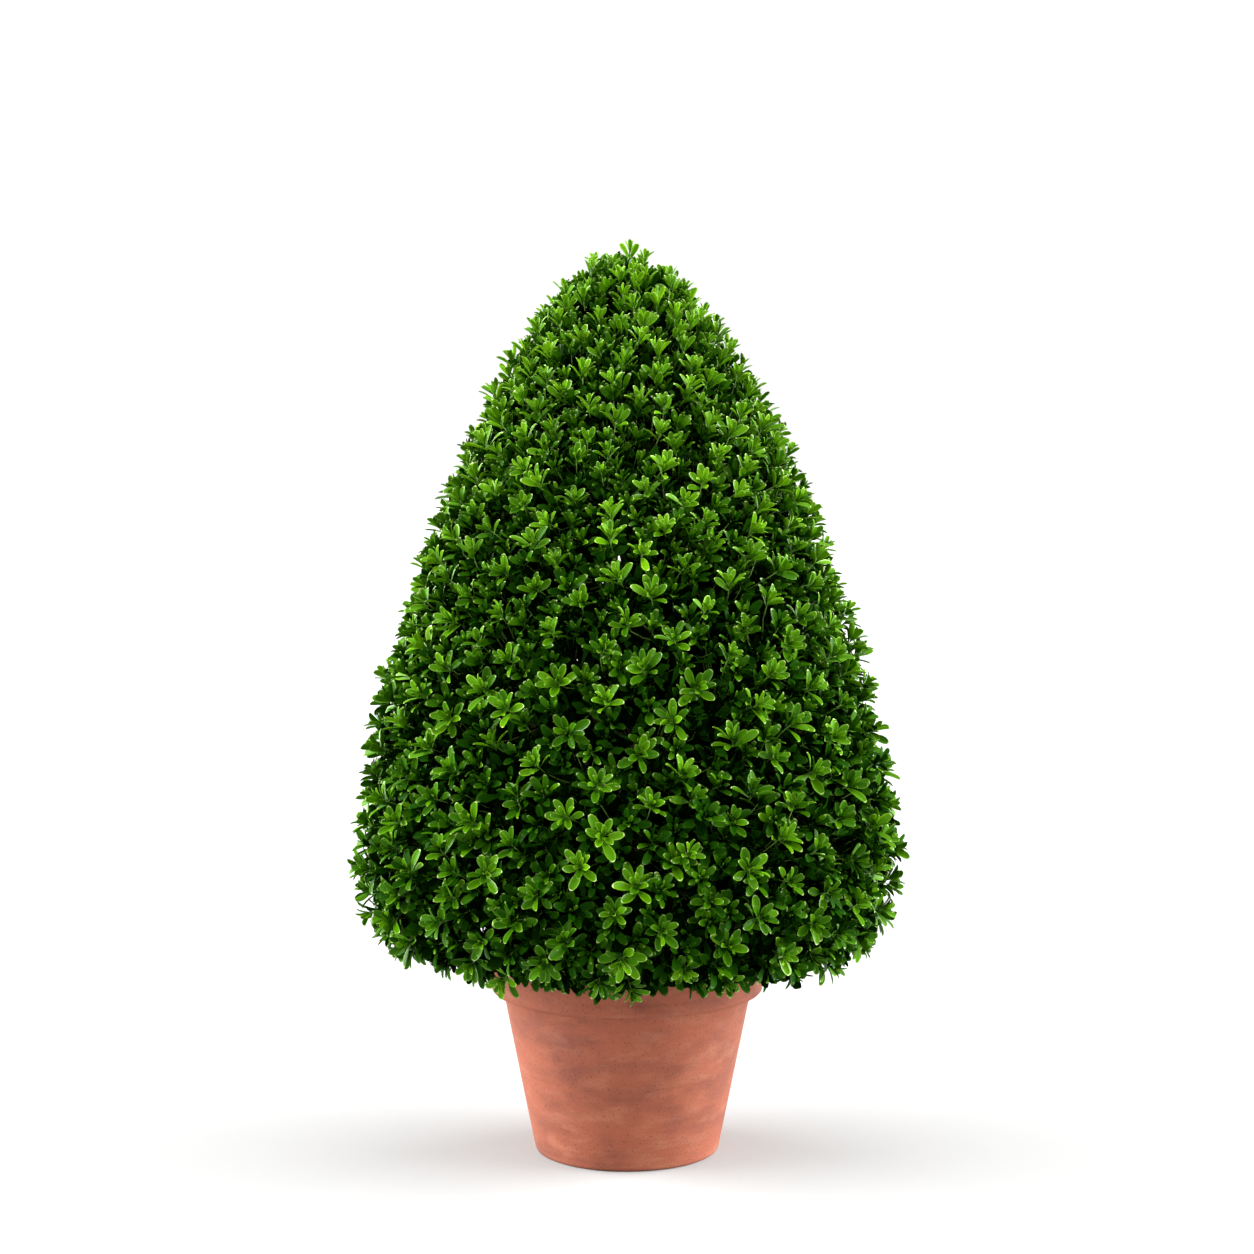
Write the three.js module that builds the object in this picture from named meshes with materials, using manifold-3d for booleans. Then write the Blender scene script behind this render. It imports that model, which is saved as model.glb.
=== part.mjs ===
// A boxwood clipped to a round-topped cone, growing in a plain clay pot.
// Millimetres, +Z up. The origin is the middle of the pot's flat underside.
// Levels are heights above the hem, which is the lowest edge of the foliage.
import * as THREE from "three";
import { mergeVertices } from "three/addons/utils/BufferGeometryUtils.js";
import Module from "manifold-3d";

const wasm = await Module();
wasm.setup();

// The crown's outline, measured to the leaf tips
const CROWN_HEIGHT = 1219;
const CROWN_RADIUS = 467;
const WIDEST_LEVEL = 190;
const HEM_RADIUS = 395;
const HEM_HEIGHT = 350; // the hem above the ground
const HEM_FRINGE = 14; // how far leaf tips hang below the hem
const FLANK_FULLNESS = 1.35; // how long the flank stays wide as it rises
const TOP_ROUNDNESS = 0.62; // how bluntly it closes at the top

// How shoots grow: square to the outline, and more upright higher up
const UPWARD_LIFT = THREE.MathUtils.degToRad(28);
const LOWEST_GROWTH = THREE.MathUtils.degToRad(-35);

// The dense inside of each mass, measured inwards from the leaf tips
const CORE_DEPTH = 50;
const CORE_THICKNESS = 88;
const CORE_LUMP = 4;
const MASS_CLEARANCE = 2; // each mass stays this far inside its own space
const STUB_LENGTH = 28; // a mass's stem, between its core and its bough

// Shoots and leaves
const SHOOT_COUNT = 128;
const SHOOT_BORDER = 34; // how far a shoot keeps from the edge of its mass
const SHOOT_SUNK = 26;
const SHOOT_LENGTH = 17; // outside the core
const SHOOT_FOOT_RADIUS = 6;
const SHOOT_TIP_RADIUS = 4.6;
const SHOOT_SETBACK = 8; // the most that a shoot stays below the outline
const LEAF_LENGTH = 82;
const LEAF_WIDTH = 40;
const LEAF_THICKNESS = 3.4;
const LEAF_SINK = 1.6; // how far a leaf's root goes past the shoot's axis
const TOP_LEAF_SIZE = 0.74; // leaves at the very top, against those at the hem
const GOLDEN_ANGLE = Math.PI * (3 - Math.sqrt(5));

// The pot
const POT_HEIGHT = 340;
const POT_FOOT_RADIUS = 160;
const POT_NECK_RADIUS = 214; // the wall's outside, just under the rim
const POT_WALL = 17;
const POT_FLOOR = 22;
const RIM_RADIUS = 235;
const RIM_HEIGHT = 62;
const RIM_ROUND = 7;
const DRAIN_COUNT = 3;
const DRAIN_RADIUS = 9;
const DRAIN_CIRCLE = 78;
const POT_SIDES = 36;

// The soil
const SOIL_HEIGHT = 300;
const SOIL_DIP = 5; // how much lower the soil is at the wall
const SOIL_FLAT_RADIUS = 90;

// The woody frame
const GAP = 0.3; // between solids that touch
const STEM_TOP_LEVEL = 150;
const STEM_BASE_RADIUS = 30;
const STEM_TOP_RADIUS = 22;
const FLARE_RADIUS = 17; // how far the root flare spreads past the stem
const FLARE_HEIGHT = 42;
const FLARE_LOBES = 5;
const LEADER_TIP_RADIUS = 7.5;
const BOUGH_STAGGER = 26; // height between neighbouring boughs' feet
const CUT_SPARE = 14; // spare length on a piece of upright wood before its ends are cut

// The tiers of foliage, from the hem up, and the boughs that carry them
const TIERS = [
  { name: "lower", from: 0, to: 330, count: 6, turn: 0.2, footLevel: -5, footRadius: 13, tipRadius: 8.5 },
  { name: "middle", from: 330, to: 640, count: 5, turn: 0.7, footLevel: 170, footRadius: 11.5, tipRadius: 8 },
  { name: "upper", from: 640, to: 930, count: 4, turn: 0.3, footLevel: 460, footRadius: 10, tipRadius: 7.5 },
];
const CAP = { name: "top", from: 930, to: CROWN_HEIGHT };

const LEAF_GREEN = 0x3f7a1c;
const BARK_BROWN = 0x6b5b45;
const CLAY = 0xa9593a;
const SOIL_BROWN = 0x35271c;

// The same numbers on every run.
function seededRandom(seed) {
  let state = seed >>> 0;
  return () => {
    state = (state + 0x6d2b79f5) >>> 0;
    let mixed = Math.imul(state ^ (state >>> 15), state | 1);
    mixed ^= mixed + Math.imul(mixed ^ (mixed >>> 7), mixed | 61);
    return ((mixed ^ (mixed >>> 14)) >>> 0) / 4294967296;
  };
}

const clamp = THREE.MathUtils.clamp;

// A closed three.js geometry as a solid that can be joined and cut.
function solidOf(geometry) {
  const bare = geometry.clone();
  bare.deleteAttribute("normal");
  bare.deleteAttribute("uv");
  const merged = mergeVertices(bare, 1e-4);
  const mesh = new wasm.Mesh({
    numProp: 3,
    vertProperties: merged.attributes.position.array,
    triVerts: new Uint32Array(merged.index.array),
  });
  return new wasm.Manifold(mesh);
}

// The main body of a solid: sealed hollows are filled and loose scraps dropped.
function mainBody(solid) {
  const bodies = solid.simplify(0.02).decompose();
  return bodies.reduce((best, body) => (body.volume() > best.volume() ? body : best));
}

// A solid as a three.js geometry.
function geometryOf(solid) {
  const { numVert, numProp, vertProperties, triVerts } = solid.getMesh();
  const positions = new Float32Array(numVert * 3);
  for (let i = 0; i < numVert; i++) {
    positions.set(vertProperties.subarray(i * numProp, i * numProp + 3), i * 3);
  }
  const geometry = new THREE.BufferGeometry();
  geometry.setAttribute("position", new THREE.BufferAttribute(positions, 3));
  geometry.setIndex(new THREE.BufferAttribute(new Uint32Array(triVerts), 1));
  geometry.computeVertexNormals();
  return geometry;
}

// Moves each vertex of a geometry to the place that a function gives for it.
function reshape(geometry, place) {
  const positions = geometry.attributes.position;
  const vertex = new THREE.Vector3();
  for (let i = 0; i < positions.count; i++) {
    vertex.fromBufferAttribute(positions, i);
    positions.setXYZ(i, ...place(vertex.clone()).toArray());
  }
  return geometry;
}

// The radius of the leaf tips at a level.
function tipRadius(level) {
  if (level < WIDEST_LEVEL) {
    const drop = clamp((WIDEST_LEVEL - level) / WIDEST_LEVEL, 0, 1);
    return HEM_RADIUS + (CROWN_RADIUS - HEM_RADIUS) * Math.sqrt(1 - drop * drop);
  }
  const rise = clamp((level - WIDEST_LEVEL) / (CROWN_HEIGHT - WIDEST_LEVEL), 0, 1);
  return CROWN_RADIUS * Math.pow(1 - Math.pow(rise, FLANK_FULLNESS), TOP_ROUNDNESS);
}

// The angle above the horizontal at which shoots grow at a level.
function growthAngle(level) {
  const low = clamp(level - 3, 0, CROWN_HEIGHT);
  const high = clamp(level + 3, 0, CROWN_HEIGHT);
  const square = Math.atan2(tipRadius(low) - tipRadius(high), high - low);
  const lift = UPWARD_LIFT * (level / CROWN_HEIGHT) ** 2;
  return level > CROWN_HEIGHT - 1 ? Math.PI / 2 : clamp(square + lift, LOWEST_GROWTH, Math.PI / 2);
}

// A point in space from its distance from the axis, its azimuth and its level.
function crownPoint(radius, azimuth, level) {
  return new THREE.Vector3(radius * Math.cos(azimuth), radius * Math.sin(azimuth), HEM_HEIGHT + level);
}

// The direction of growth at a level and azimuth.
function growthDirection(level, azimuth) {
  const angle = growthAngle(level);
  return new THREE.Vector3(
    Math.cos(angle) * Math.cos(azimuth),
    Math.cos(angle) * Math.sin(azimuth),
    Math.sin(angle),
  );
}

// The point some depth below the leaf tips, back along the direction of growth.
function pointUnder(level, azimuth, depth) {
  const tip = crownPoint(tipRadius(level), azimuth, level);
  return tip.addScaledVector(growthDirection(level, azimuth), -depth);
}

// How far a point lies above the cone that divides two tiers at a level.
function heightOverBorder(point, level) {
  const angle = growthAngle(level);
  const out = Math.hypot(point.x, point.y) - tipRadius(level);
  return (point.z - HEM_HEIGHT - level) * Math.cos(angle) - out * Math.sin(angle);
}

// Whether a point lies inside the space of a mass, clear of its borders.
function isInside(mass, point) {
  const reach = Math.hypot(point.x, point.y);
  if (point.z < HEM_HEIGHT - HEM_FRINGE) {
    return false;
  }
  if (mass.from > 0 && heightOverBorder(point, mass.from) < MASS_CLEARANCE) {
    return false;
  }
  if (mass.to < CROWN_HEIGHT && heightOverBorder(point, mass.to) > -MASS_CLEARANCE) {
    return false;
  }
  if (mass.halfWidth === undefined) {
    return true;
  }
  const turned = Math.atan2(point.y, point.x) - mass.azimuth;
  const off = Math.abs(Math.atan2(Math.sin(turned), Math.cos(turned)));
  return Math.sin(mass.halfWidth - off) * reach > MASS_CLEARANCE;
}

// A gentle unevenness of the cores.
function lump(azimuth, level) {
  return CORE_LUMP * Math.sin(5 * azimuth + level / 47) * Math.cos(level / 31 - 2 * azimuth);
}

// A level moved by a distance along the outline.
function levelAlong(level, distance) {
  const low = clamp(level - 3, 0, CROWN_HEIGHT);
  const high = clamp(level + 3, 0, CROWN_HEIGHT);
  return level + (distance * (high - low)) / Math.hypot(high - low, tipRadius(high) - tipRadius(low));
}

// The core of a mass in a ring: a curved slab under the leaves, with a hollow crown inside it.
function ringCore(mass) {
  const from = levelAlong(mass.from, mass.from > 0 ? MASS_CLEARANCE / 0.9 : 0);
  const to = levelAlong(mass.to, -MASS_CLEARANCE / 0.9);
  return reshape(new THREE.BoxGeometry(1, 1, 1, 4, 4, 1), ({ x, y, z }) => {
    const level = from + (y + 0.5) * (to - from);
    const inner = z < 0;
    const depth = inner ? CORE_DEPTH + CORE_THICKNESS : CORE_DEPTH + lump(mass.azimuth + x, level);
    const reach = pointUnder(level, mass.azimuth, depth);
    const narrowed = mass.halfWidth - Math.asin(MASS_CLEARANCE / Math.hypot(reach.x, reach.y));
    return pointUnder(level, mass.azimuth + 2 * x * narrowed, depth);
  });
}

// The core of the mass at the top: a dome, hollow from below.
function capCore(mass) {
  const from = levelAlong(mass.from, MASS_CLEARANCE / 0.75);
  const steps = 5;
  const outline = (depth) =>
    Array.from({ length: steps + 1 }, (_, i) => {
      const share = 1 - (1 - i / steps) ** 2;
      const point = pointUnder(from + (CROWN_HEIGHT - from) * share, 0, depth);
      return new THREE.Vector2(i === steps ? 0 : point.x, point.z);
    });
  const profile = [...outline(CORE_DEPTH + CORE_THICKNESS).reverse(), ...outline(CORE_DEPTH)];
  return new THREE.LatheGeometry(profile, 16).rotateX(Math.PI / 2);
}

// A straight tapering stick between two points.
function stick(start, end, startRadius, endRadius, sides) {
  const along = end.clone().sub(start);
  const turn = new THREE.Quaternion().setFromUnitVectors(
    new THREE.Vector3(0, 1, 0),
    along.clone().normalize(),
  );
  return new THREE.CylinderGeometry(endRadius, startRadius, along.length(), sides)
    .applyQuaternion(turn)
    .translate(...start.clone().lerp(end, 0.5).toArray());
}

// A leaf of eight faces, widest past its middle, cupped towards the tip of its shoot.
function leaf(root, direction, shootDirection, length, width) {
  const across = new THREE.Vector3().crossVectors(shootDirection, direction).normalize();
  const upper = new THREE.Vector3().crossVectors(direction, across);
  return reshape(new THREE.OctahedronGeometry(1), ({ x, y, z }) => {
    const along = Math.abs(x) > 0.5 ? (x + 1) / 2 : Math.abs(y) > 0.5 ? 0.62 : 0.5;
    const lift = z * 0.5 * LEAF_THICKNESS + Math.abs(y) * 0.14 * width + (x > 0.5 ? 0.08 * length : 0);
    return root
      .clone()
      .addScaledVector(direction, along * length)
      .addScaledVector(across, 0.5 * y * width)
      .addScaledVector(upper, lift);
  });
}

// The leaves of one shoot: two crossed pairs and one at the tip. Angles are from the shoot's axis.
const LEAF_PLACES = [
  { station: 0.28, angle: 73, turn: 0, size: 1 },
  { station: 0.5, angle: 70, turn: 180, size: 0.97 },
  { station: 0.72, angle: 60, turn: 90, size: 0.86 },
  { station: 0.9, angle: 55, turn: 270, size: 0.8 },
];

// One shoot with those of its leaves that stay in the space of its mass.
function shootPieces(mass, shoot) {
  const axis = growthDirection(shoot.level, shoot.azimuth);
  const foot = pointUnder(shoot.level, shoot.azimuth, CORE_DEPTH + SHOOT_SUNK);
  const reach = SHOOT_SUNK + SHOOT_LENGTH - shoot.setback;
  const tip = foot.clone().addScaledVector(axis, reach);
  if (!isInside(mass, foot) || !isInside(mass, tip)) {
    return [];
  }
  const side = new THREE.Vector3(-Math.sin(shoot.azimuth), Math.cos(shoot.azimuth), 0);
  const other = new THREE.Vector3().crossVectors(axis, side);
  const pieces = [stick(foot, tip, SHOOT_FOOT_RADIUS, SHOOT_TIP_RADIUS, 3)];
  for (const place of LEAF_PLACES) {
    const angle = THREE.MathUtils.degToRad(place.angle);
    const turn = shoot.roll + THREE.MathUtils.degToRad(place.turn);
    const outward = side.clone().multiplyScalar(Math.cos(turn)).addScaledVector(other, Math.sin(turn));
    const direction = axis
      .clone()
      .multiplyScalar(Math.cos(angle))
      .addScaledVector(outward, Math.sin(angle));
    const root = foot
      .clone()
      .lerp(tip, SHOOT_SUNK / reach + place.station * (1 - SHOOT_SUNK / reach))
      .addScaledVector(direction, -LEAF_SINK);
    const size = place.size * shoot.size;
    const blade = leaf(root, direction, axis, LEAF_LENGTH * size, LEAF_WIDTH * size);
    const corners = blade.attributes.position;
    const inside = Array.from({ length: corners.count }, (_, i) =>
      isInside(mass, new THREE.Vector3().fromBufferAttribute(corners, i)),
    );
    if (inside.every(Boolean)) {
      pieces.push(blade);
    }
  }
  return pieces;
}

// The masses of foliage, each with the space that it keeps to.
function allMasses() {
  const rings = TIERS.flatMap((tier) =>
    Array.from({ length: tier.count }, (_, i) => ({
      ...tier,
      name: `foliage_${tier.name}_${i + 1}`,
      bough: `bough_${tier.name}_${i + 1}`,
      index: i,
      azimuth: tier.turn + (2 * Math.PI * i) / tier.count,
      halfWidth: Math.PI / tier.count,
    })),
  );
  return [...rings, { ...CAP, name: "foliage_top" }];
}

// Levels at which equal shares of the crown's surface lie below.
function levelsByArea(count) {
  const steps = 600;
  const levels = Array.from({ length: steps + 1 }, (_, i) => CROWN_HEIGHT * (1 - (1 - i / steps) ** 2));
  const area = [0];
  for (let i = 1; i <= steps; i++) {
    const [low, high] = [tipRadius(levels[i - 1]), tipRadius(levels[i])];
    area.push(area[i - 1] + (low + high) * Math.hypot(levels[i] - levels[i - 1], high - low));
  }
  return Array.from({ length: count }, (_, k) => {
    const wanted = (area[steps] * (k + 1)) / count;
    return k === count - 1 ? CROWN_HEIGHT : levels[area.findIndex((sum) => sum >= wanted)];
  });
}

// The shoots, spread evenly over the crown in a spiral and dealt out to the masses.
function dealShoots(masses) {
  const random = seededRandom(20817);
  const shoots = new Map(masses.map((mass) => [mass, []]));
  levelsByArea(SHOOT_COUNT).forEach((evenLevel, k) => {
    const mass = masses.find((one) => {
      const turned = k * GOLDEN_ANGLE - (one.azimuth ?? 0);
      const off = Math.abs(Math.atan2(Math.sin(turned), Math.cos(turned)));
      return evenLevel <= one.to && evenLevel >= one.from && off <= (one.halfWidth ?? Math.PI) + 1e-9;
    });
    const lowest = levelAlong(mass.from, mass.from > 0 ? SHOOT_BORDER : SHOOT_BORDER / 2);
    const highest = mass.to < CROWN_HEIGHT ? levelAlong(mass.to, -SHOOT_BORDER) : CROWN_HEIGHT;
    const level = clamp(evenLevel, lowest, highest);
    const turned = k * GOLDEN_ANGLE - (mass.azimuth ?? 0);
    const off = Math.atan2(Math.sin(turned), Math.cos(turned));
    const most = (mass.halfWidth ?? Math.PI) - (mass.halfWidth ? SHOOT_BORDER / tipRadius(level) : 0);
    shoots.get(mass).push({
      level,
      azimuth: (mass.azimuth ?? 0) + clamp(off, -most, most),
      setback: level === CROWN_HEIGHT ? 0 : SHOOT_SETBACK * random() ** 2,
      roll: Math.PI * random(),
      size: (0.9 + 0.2 * random()) * (1 - (1 - TOP_LEAF_SIZE) * (level / CROWN_HEIGHT) ** 3),
    });
  });
  return shoots;
}

// The point on the axis of the stem and leader at a level: a slight lean and sway.
function woodAxis(level) {
  const sway = clamp(level / 1000, 0, 1);
  return crownPoint(0, 0, level).add(
    new THREE.Vector3(14 * sway + 5 * Math.sin(level / 120), 9 * Math.sin(level / 210), 0),
  );
}

// A limb: a cylinder bent along a curve, with the radius that a function gives.
function limb(curve, radiusAt, sides, steps) {
  const frames = curve.computeFrenetFrames(steps, false);
  return reshape(new THREE.CylinderGeometry(1, 1, 1, sides, steps), ({ x, y, z }) => {
    const share = y + 0.5;
    const step = Math.round(share * steps);
    const radius = radiusAt(share, Math.atan2(z, x));
    return curve
      .getPointAt(share)
      .addScaledVector(frames.normals[step], x * radius)
      .addScaledVector(frames.binormals[step], -z * radius);
  });
}

// The stem's radius at a level, with its root flare.
function stemRadius(level, around) {
  const height = Math.max(level + HEM_HEIGHT - SOIL_HEIGHT, 0);
  const share = height / (STEM_TOP_LEVEL + HEM_HEIGHT - SOIL_HEIGHT);
  const flare = Math.exp(-height / FLARE_HEIGHT) * (0.7 + 0.3 * Math.cos(FLARE_LOBES * around));
  return STEM_BASE_RADIUS + (STEM_TOP_RADIUS - STEM_BASE_RADIUS) * share + FLARE_RADIUS * flare;
}

// The level at which the leader ends, under the core of the top mass.
function leaderTipLevel() {
  return CROWN_HEIGHT - CORE_DEPTH - CORE_THICKNESS - STUB_LENGTH;
}

// The leader's radius at a level.
function leaderRadius(level) {
  const share = (level - STEM_TOP_LEVEL) / (leaderTipLevel() - STEM_TOP_LEVEL);
  return STEM_TOP_RADIUS + (LEADER_TIP_RADIUS - STEM_TOP_RADIUS) * share;
}

// A length of upright wood along the common axis, still uncut at its ends.
function uprightWood(bottom, top, radiusAt, sides, steps) {
  const levels = Array.from({ length: steps + 1 }, (_, i) => bottom + ((top - bottom) * i) / steps);
  const curve = new THREE.CatmullRomCurve3(levels.map(woodAxis));
  const radius = (share, around) => radiusAt(bottom + (top - bottom) * share, around);
  return solidOf(limb(curve, radius, sides, steps));
}

// The stem before its ends are cut. Extra thickness leaves room for what grows from it.
function uncutStem(extra) {
  const radius = (level, around) => stemRadius(level, around) + extra;
  return uprightWood(SOIL_HEIGHT - HEM_HEIGHT - CUT_SPARE, STEM_TOP_LEVEL + CUT_SPARE, radius, 15, 6);
}

// The leader before its ends are cut.
function uncutLeader(extra) {
  const radius = (level) => leaderRadius(level) + extra;
  return uprightWood(STEM_TOP_LEVEL - CUT_SPARE, leaderTipLevel() + CUT_SPARE, radius, 9, 10);
}

// The part of a solid between two levels.
function between(solid, bottom, top) {
  const above = solid.trimByPlane([0, 0, 1], HEM_HEIGHT + bottom);
  return above.trimByPlane([0, 0, -1], -HEM_HEIGHT - top);
}

// The curve of a bough, from the axis of the wood that carries it to the stem of its mass.
function boughCurve(mass) {
  const footLevel = mass.footLevel + BOUGH_STAGGER * ((2 * mass.index) % mass.count);
  const middle = (mass.from + mass.to) / 2;
  const depth = CORE_DEPTH + CORE_THICKNESS + STUB_LENGTH;
  const end = pointUnder(middle, mass.azimuth, depth);
  const foot = woodAxis(footLevel);
  const run = end.clone().sub(foot).length();
  const side = new THREE.Vector3(-Math.sin(mass.azimuth), Math.cos(mass.azimuth), 0);
  const sway = (mass.index % 2 ? -1 : 1) * 0.06 * run;
  const outward = end.clone().sub(foot).setZ(0).normalize();
  const leaving = foot
    .clone()
    .addScaledVector(outward, 0.3 * run)
    .addScaledVector(new THREE.Vector3(0, 0, 1), 0.24 * run)
    .addScaledVector(side, sway);
  const arriving = end.clone().addScaledVector(growthDirection(middle, mass.azimuth), -0.3 * run);
  return new THREE.CubicBezierCurve3(foot, leaving, arriving, end);
}

// A bough, its foot cut to the wood that carries it.
function bough(mass, carrier) {
  const radius = (share) => mass.footRadius + (mass.tipRadius - mass.footRadius) * share;
  return mainBody(solidOf(limb(boughCurve(mass), radius, 6, 5)).subtract(carrier));
}

// One mass of foliage: a core on the end of its stem, with shoots and leaves that stand out of it.
function foliage(mass, shoots) {
  const cap = mass.halfWidth === undefined;
  const start = cap ? woodAxis(leaderTipLevel()) : boughCurve(mass).getPoint(1);
  const inward = cap
    ? new THREE.Vector3(0, 0, 1)
    : growthDirection((mass.from + mass.to) / 2, mass.azimuth);
  const radius = cap ? LEADER_TIP_RADIUS : mass.tipRadius;
  const stub = stick(
    start.clone().addScaledVector(inward, GAP),
    start.clone().addScaledVector(inward, STUB_LENGTH + 0.6 * CORE_THICKNESS),
    radius,
    0.7 * radius,
    7,
  );
  const pieces = [cap ? capCore(mass) : ringCore(mass), stub];
  shoots.forEach((shoot) => pieces.push(...shootPieces(mass, shoot)));
  return mainBody(wasm.Manifold.union(pieces.map(solidOf)));
}

// The pot: a tapering wall under a thick rim, with drain holes through its floor.
function pot() {
  const rimBottom = POT_HEIGHT - RIM_HEIGHT;
  const innerTop = POT_NECK_RADIUS - POT_WALL + 6;
  const profile = [
    [0, 0],
    [POT_FOOT_RADIUS - 5, 0],
    [POT_FOOT_RADIUS, 5],
    [POT_NECK_RADIUS, rimBottom],
    [RIM_RADIUS - RIM_ROUND, rimBottom],
    [RIM_RADIUS, rimBottom + RIM_ROUND],
    [RIM_RADIUS, POT_HEIGHT - RIM_ROUND],
    [RIM_RADIUS - RIM_ROUND, POT_HEIGHT],
    [innerTop + RIM_ROUND, POT_HEIGHT],
    [innerTop, POT_HEIGHT - RIM_ROUND],
    [potInside(POT_FLOOR), POT_FLOOR],
    [0, POT_FLOOR],
  ].map(([radius, height]) => new THREE.Vector2(radius, height));
  let body = solidOf(new THREE.LatheGeometry(profile, POT_SIDES).rotateX(Math.PI / 2));
  for (let i = 0; i < DRAIN_COUNT; i++) {
    const around = (2 * Math.PI * (i + 0.5)) / DRAIN_COUNT;
    const drain = new THREE.CylinderGeometry(DRAIN_RADIUS, DRAIN_RADIUS, 3 * POT_FLOOR, 12)
      .rotateX(Math.PI / 2)
      .translate(DRAIN_CIRCLE * Math.cos(around), DRAIN_CIRCLE * Math.sin(around), 0);
    body = body.subtract(solidOf(drain));
  }
  return body;
}

// The radius of the pot's inside at a height: a straight cone from the floor to the rim.
function potInside(height) {
  const low = POT_FOOT_RADIUS - POT_WALL;
  const high = POT_NECK_RADIUS - POT_WALL + 6;
  return low + ((high - low) * (height - POT_FLOOR)) / (POT_HEIGHT - RIM_ROUND - POT_FLOOR);
}

// The soil that fills the pot, level under the stem and a little lower at the wall.
function pottingSoil() {
  const floor = POT_FLOOR + GAP;
  const edge = SOIL_HEIGHT - SOIL_DIP;
  const profile = [
    [0, floor],
    [potInside(floor) - 2 * GAP, floor],
    [potInside(edge) - 2 * GAP, edge],
    [SOIL_FLAT_RADIUS, SOIL_HEIGHT],
    [0, SOIL_HEIGHT],
  ].map(([radius, height]) => new THREE.Vector2(radius, height));
  return solidOf(new THREE.LatheGeometry(profile, POT_SIDES).rotateX(Math.PI / 2));
}

const materials = {
  leaf: new THREE.MeshStandardMaterial({ color: LEAF_GREEN, roughness: 0.45, metalness: 0 }),
  bark: new THREE.MeshStandardMaterial({ color: BARK_BROWN, roughness: 0.9, metalness: 0 }),
  clay: new THREE.MeshStandardMaterial({ color: CLAY, roughness: 0.85, metalness: 0 }),
  soil: new THREE.MeshStandardMaterial({ color: SOIL_BROWN, roughness: 1, metalness: 0 }),
};

const plant = new THREE.Group();

function addPart(name, solid, material) {
  const mesh = new THREE.Mesh(geometryOf(solid), material.clone());
  mesh.name = name;
  plant.add(mesh);
}

addPart("pot", pot(), materials.clay);
addPart("potting_soil", pottingSoil(), materials.soil);
addPart("stem", between(uncutStem(0), SOIL_HEIGHT + GAP - HEM_HEIGHT, STEM_TOP_LEVEL), materials.bark);
addPart("leader", between(uncutLeader(0), STEM_TOP_LEVEL + GAP, leaderTipLevel()), materials.bark);

const carrier = uncutStem(GAP).add(uncutLeader(GAP));
const masses = allMasses();
const shoots = dealShoots(masses);
for (const mass of masses) {
  if (mass.bough) {
    addPart(mass.bough, bough(mass, carrier), materials.bark);
  }
  addPart(mass.name, foliage(mass, shoots.get(mass)), materials.leaf);
}

export default plant;
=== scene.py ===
# A boxwood clipped to a round-topped cone, growing in a plain clay pot.
# Metres, +Z up. The origin is the middle of the pot's flat underside.
# Levels are heights above the hem, which is the lowest edge of the foliage.
import math

import bmesh
import bpy
import numpy as np
from mathutils import Matrix, Vector, noise


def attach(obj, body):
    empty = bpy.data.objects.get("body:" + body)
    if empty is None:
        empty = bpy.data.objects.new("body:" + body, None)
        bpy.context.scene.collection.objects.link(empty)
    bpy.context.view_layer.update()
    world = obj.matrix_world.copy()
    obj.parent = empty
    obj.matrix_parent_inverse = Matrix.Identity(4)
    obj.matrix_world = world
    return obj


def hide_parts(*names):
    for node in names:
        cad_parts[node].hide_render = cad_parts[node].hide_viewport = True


bl_info = {
    "name": "Potted Boxwood Cone",
    "version": (1, 0, 0),
    "blender": (4, 5, 0),
    "location": "3D View > Sidebar > Boxwood",
    "description": "Grows a clipped boxwood cone in a clay pot",
    "category": "Object",
}

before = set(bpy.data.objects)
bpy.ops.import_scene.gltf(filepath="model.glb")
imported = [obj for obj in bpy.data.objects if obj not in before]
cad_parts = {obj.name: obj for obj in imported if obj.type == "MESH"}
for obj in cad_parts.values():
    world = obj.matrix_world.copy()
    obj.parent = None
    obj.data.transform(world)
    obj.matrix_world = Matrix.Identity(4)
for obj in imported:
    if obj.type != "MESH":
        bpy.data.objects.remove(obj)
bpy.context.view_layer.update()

GOLDEN_ANGLE = math.pi * (3 - math.sqrt(5))
GAP = 0.0003  # between neighbouring solids of the packed model, and under the pot

# The tiers of foliage from the hem up, and the boughs that carry them:
# name, lowest and highest level, how many masses, first azimuth,
# level of the first bough's foot, radius at the boughs' feet and tips
TIERS = (
    ("lower", 0.0, 0.330, 6, 0.2, -0.005, 0.013, 0.0085),
    ("middle", 0.330, 0.640, 5, 0.7, 0.170, 0.0115, 0.008),
    ("upper", 0.640, 0.930, 4, 0.3, 0.460, 0.010, 0.0075),
)
LIMB_DEPTH = 0.050 + 0.088 + 0.028  # how deep below the leaf tips the limbs end
BOUGH_STAGGER = 0.026  # the feet of a tier's boughs stand on steps of this height
BOUGH_REACH, BOUGH_RISE, BOUGH_SWAY = 0.3, 0.24, 0.06  # of a bough's curve, against its length
LEAN = 0.014  # of the leader's tip
SWAY_X, SWAY_Y = (0.005, 0.12), (0.009, 0.21)  # of the stem and leader: width and length
LOWEST_GROWTH = math.radians(-35)
SLOPE_REACH = 0.003  # how far above and below a level the flank's slope is taken
PEAK = 0.001  # everything this close below the tip grows straight up
FINE_FROM = 0.45  # the level above which the sprays grow finer
AREA_BANDS = 1200  # in which the crown's surface is added up

# A spray's pairs of leaves from its tip down:
# distance below the tip, angle from the spray's axis in degrees, size, steps darker
LEAF_PAIRS = (
    (0.0000, 9, 0.36, -1),
    (0.0010, 20, 0.62, -1),
    (0.0026, 29, 0.80, 0),
    (0.0052, 38, 0.90, 0),
    (0.0085, 46, 0.98, 0),
    (0.0125, 54, 1.06, 0),
    (0.0175, 61, 1.10, 0),
    (0.0240, 67, 1.08, 0),
)
PAIR_TURN = math.radians(90 + 22)  # pairs stand crossed, and a little further round each time
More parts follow.
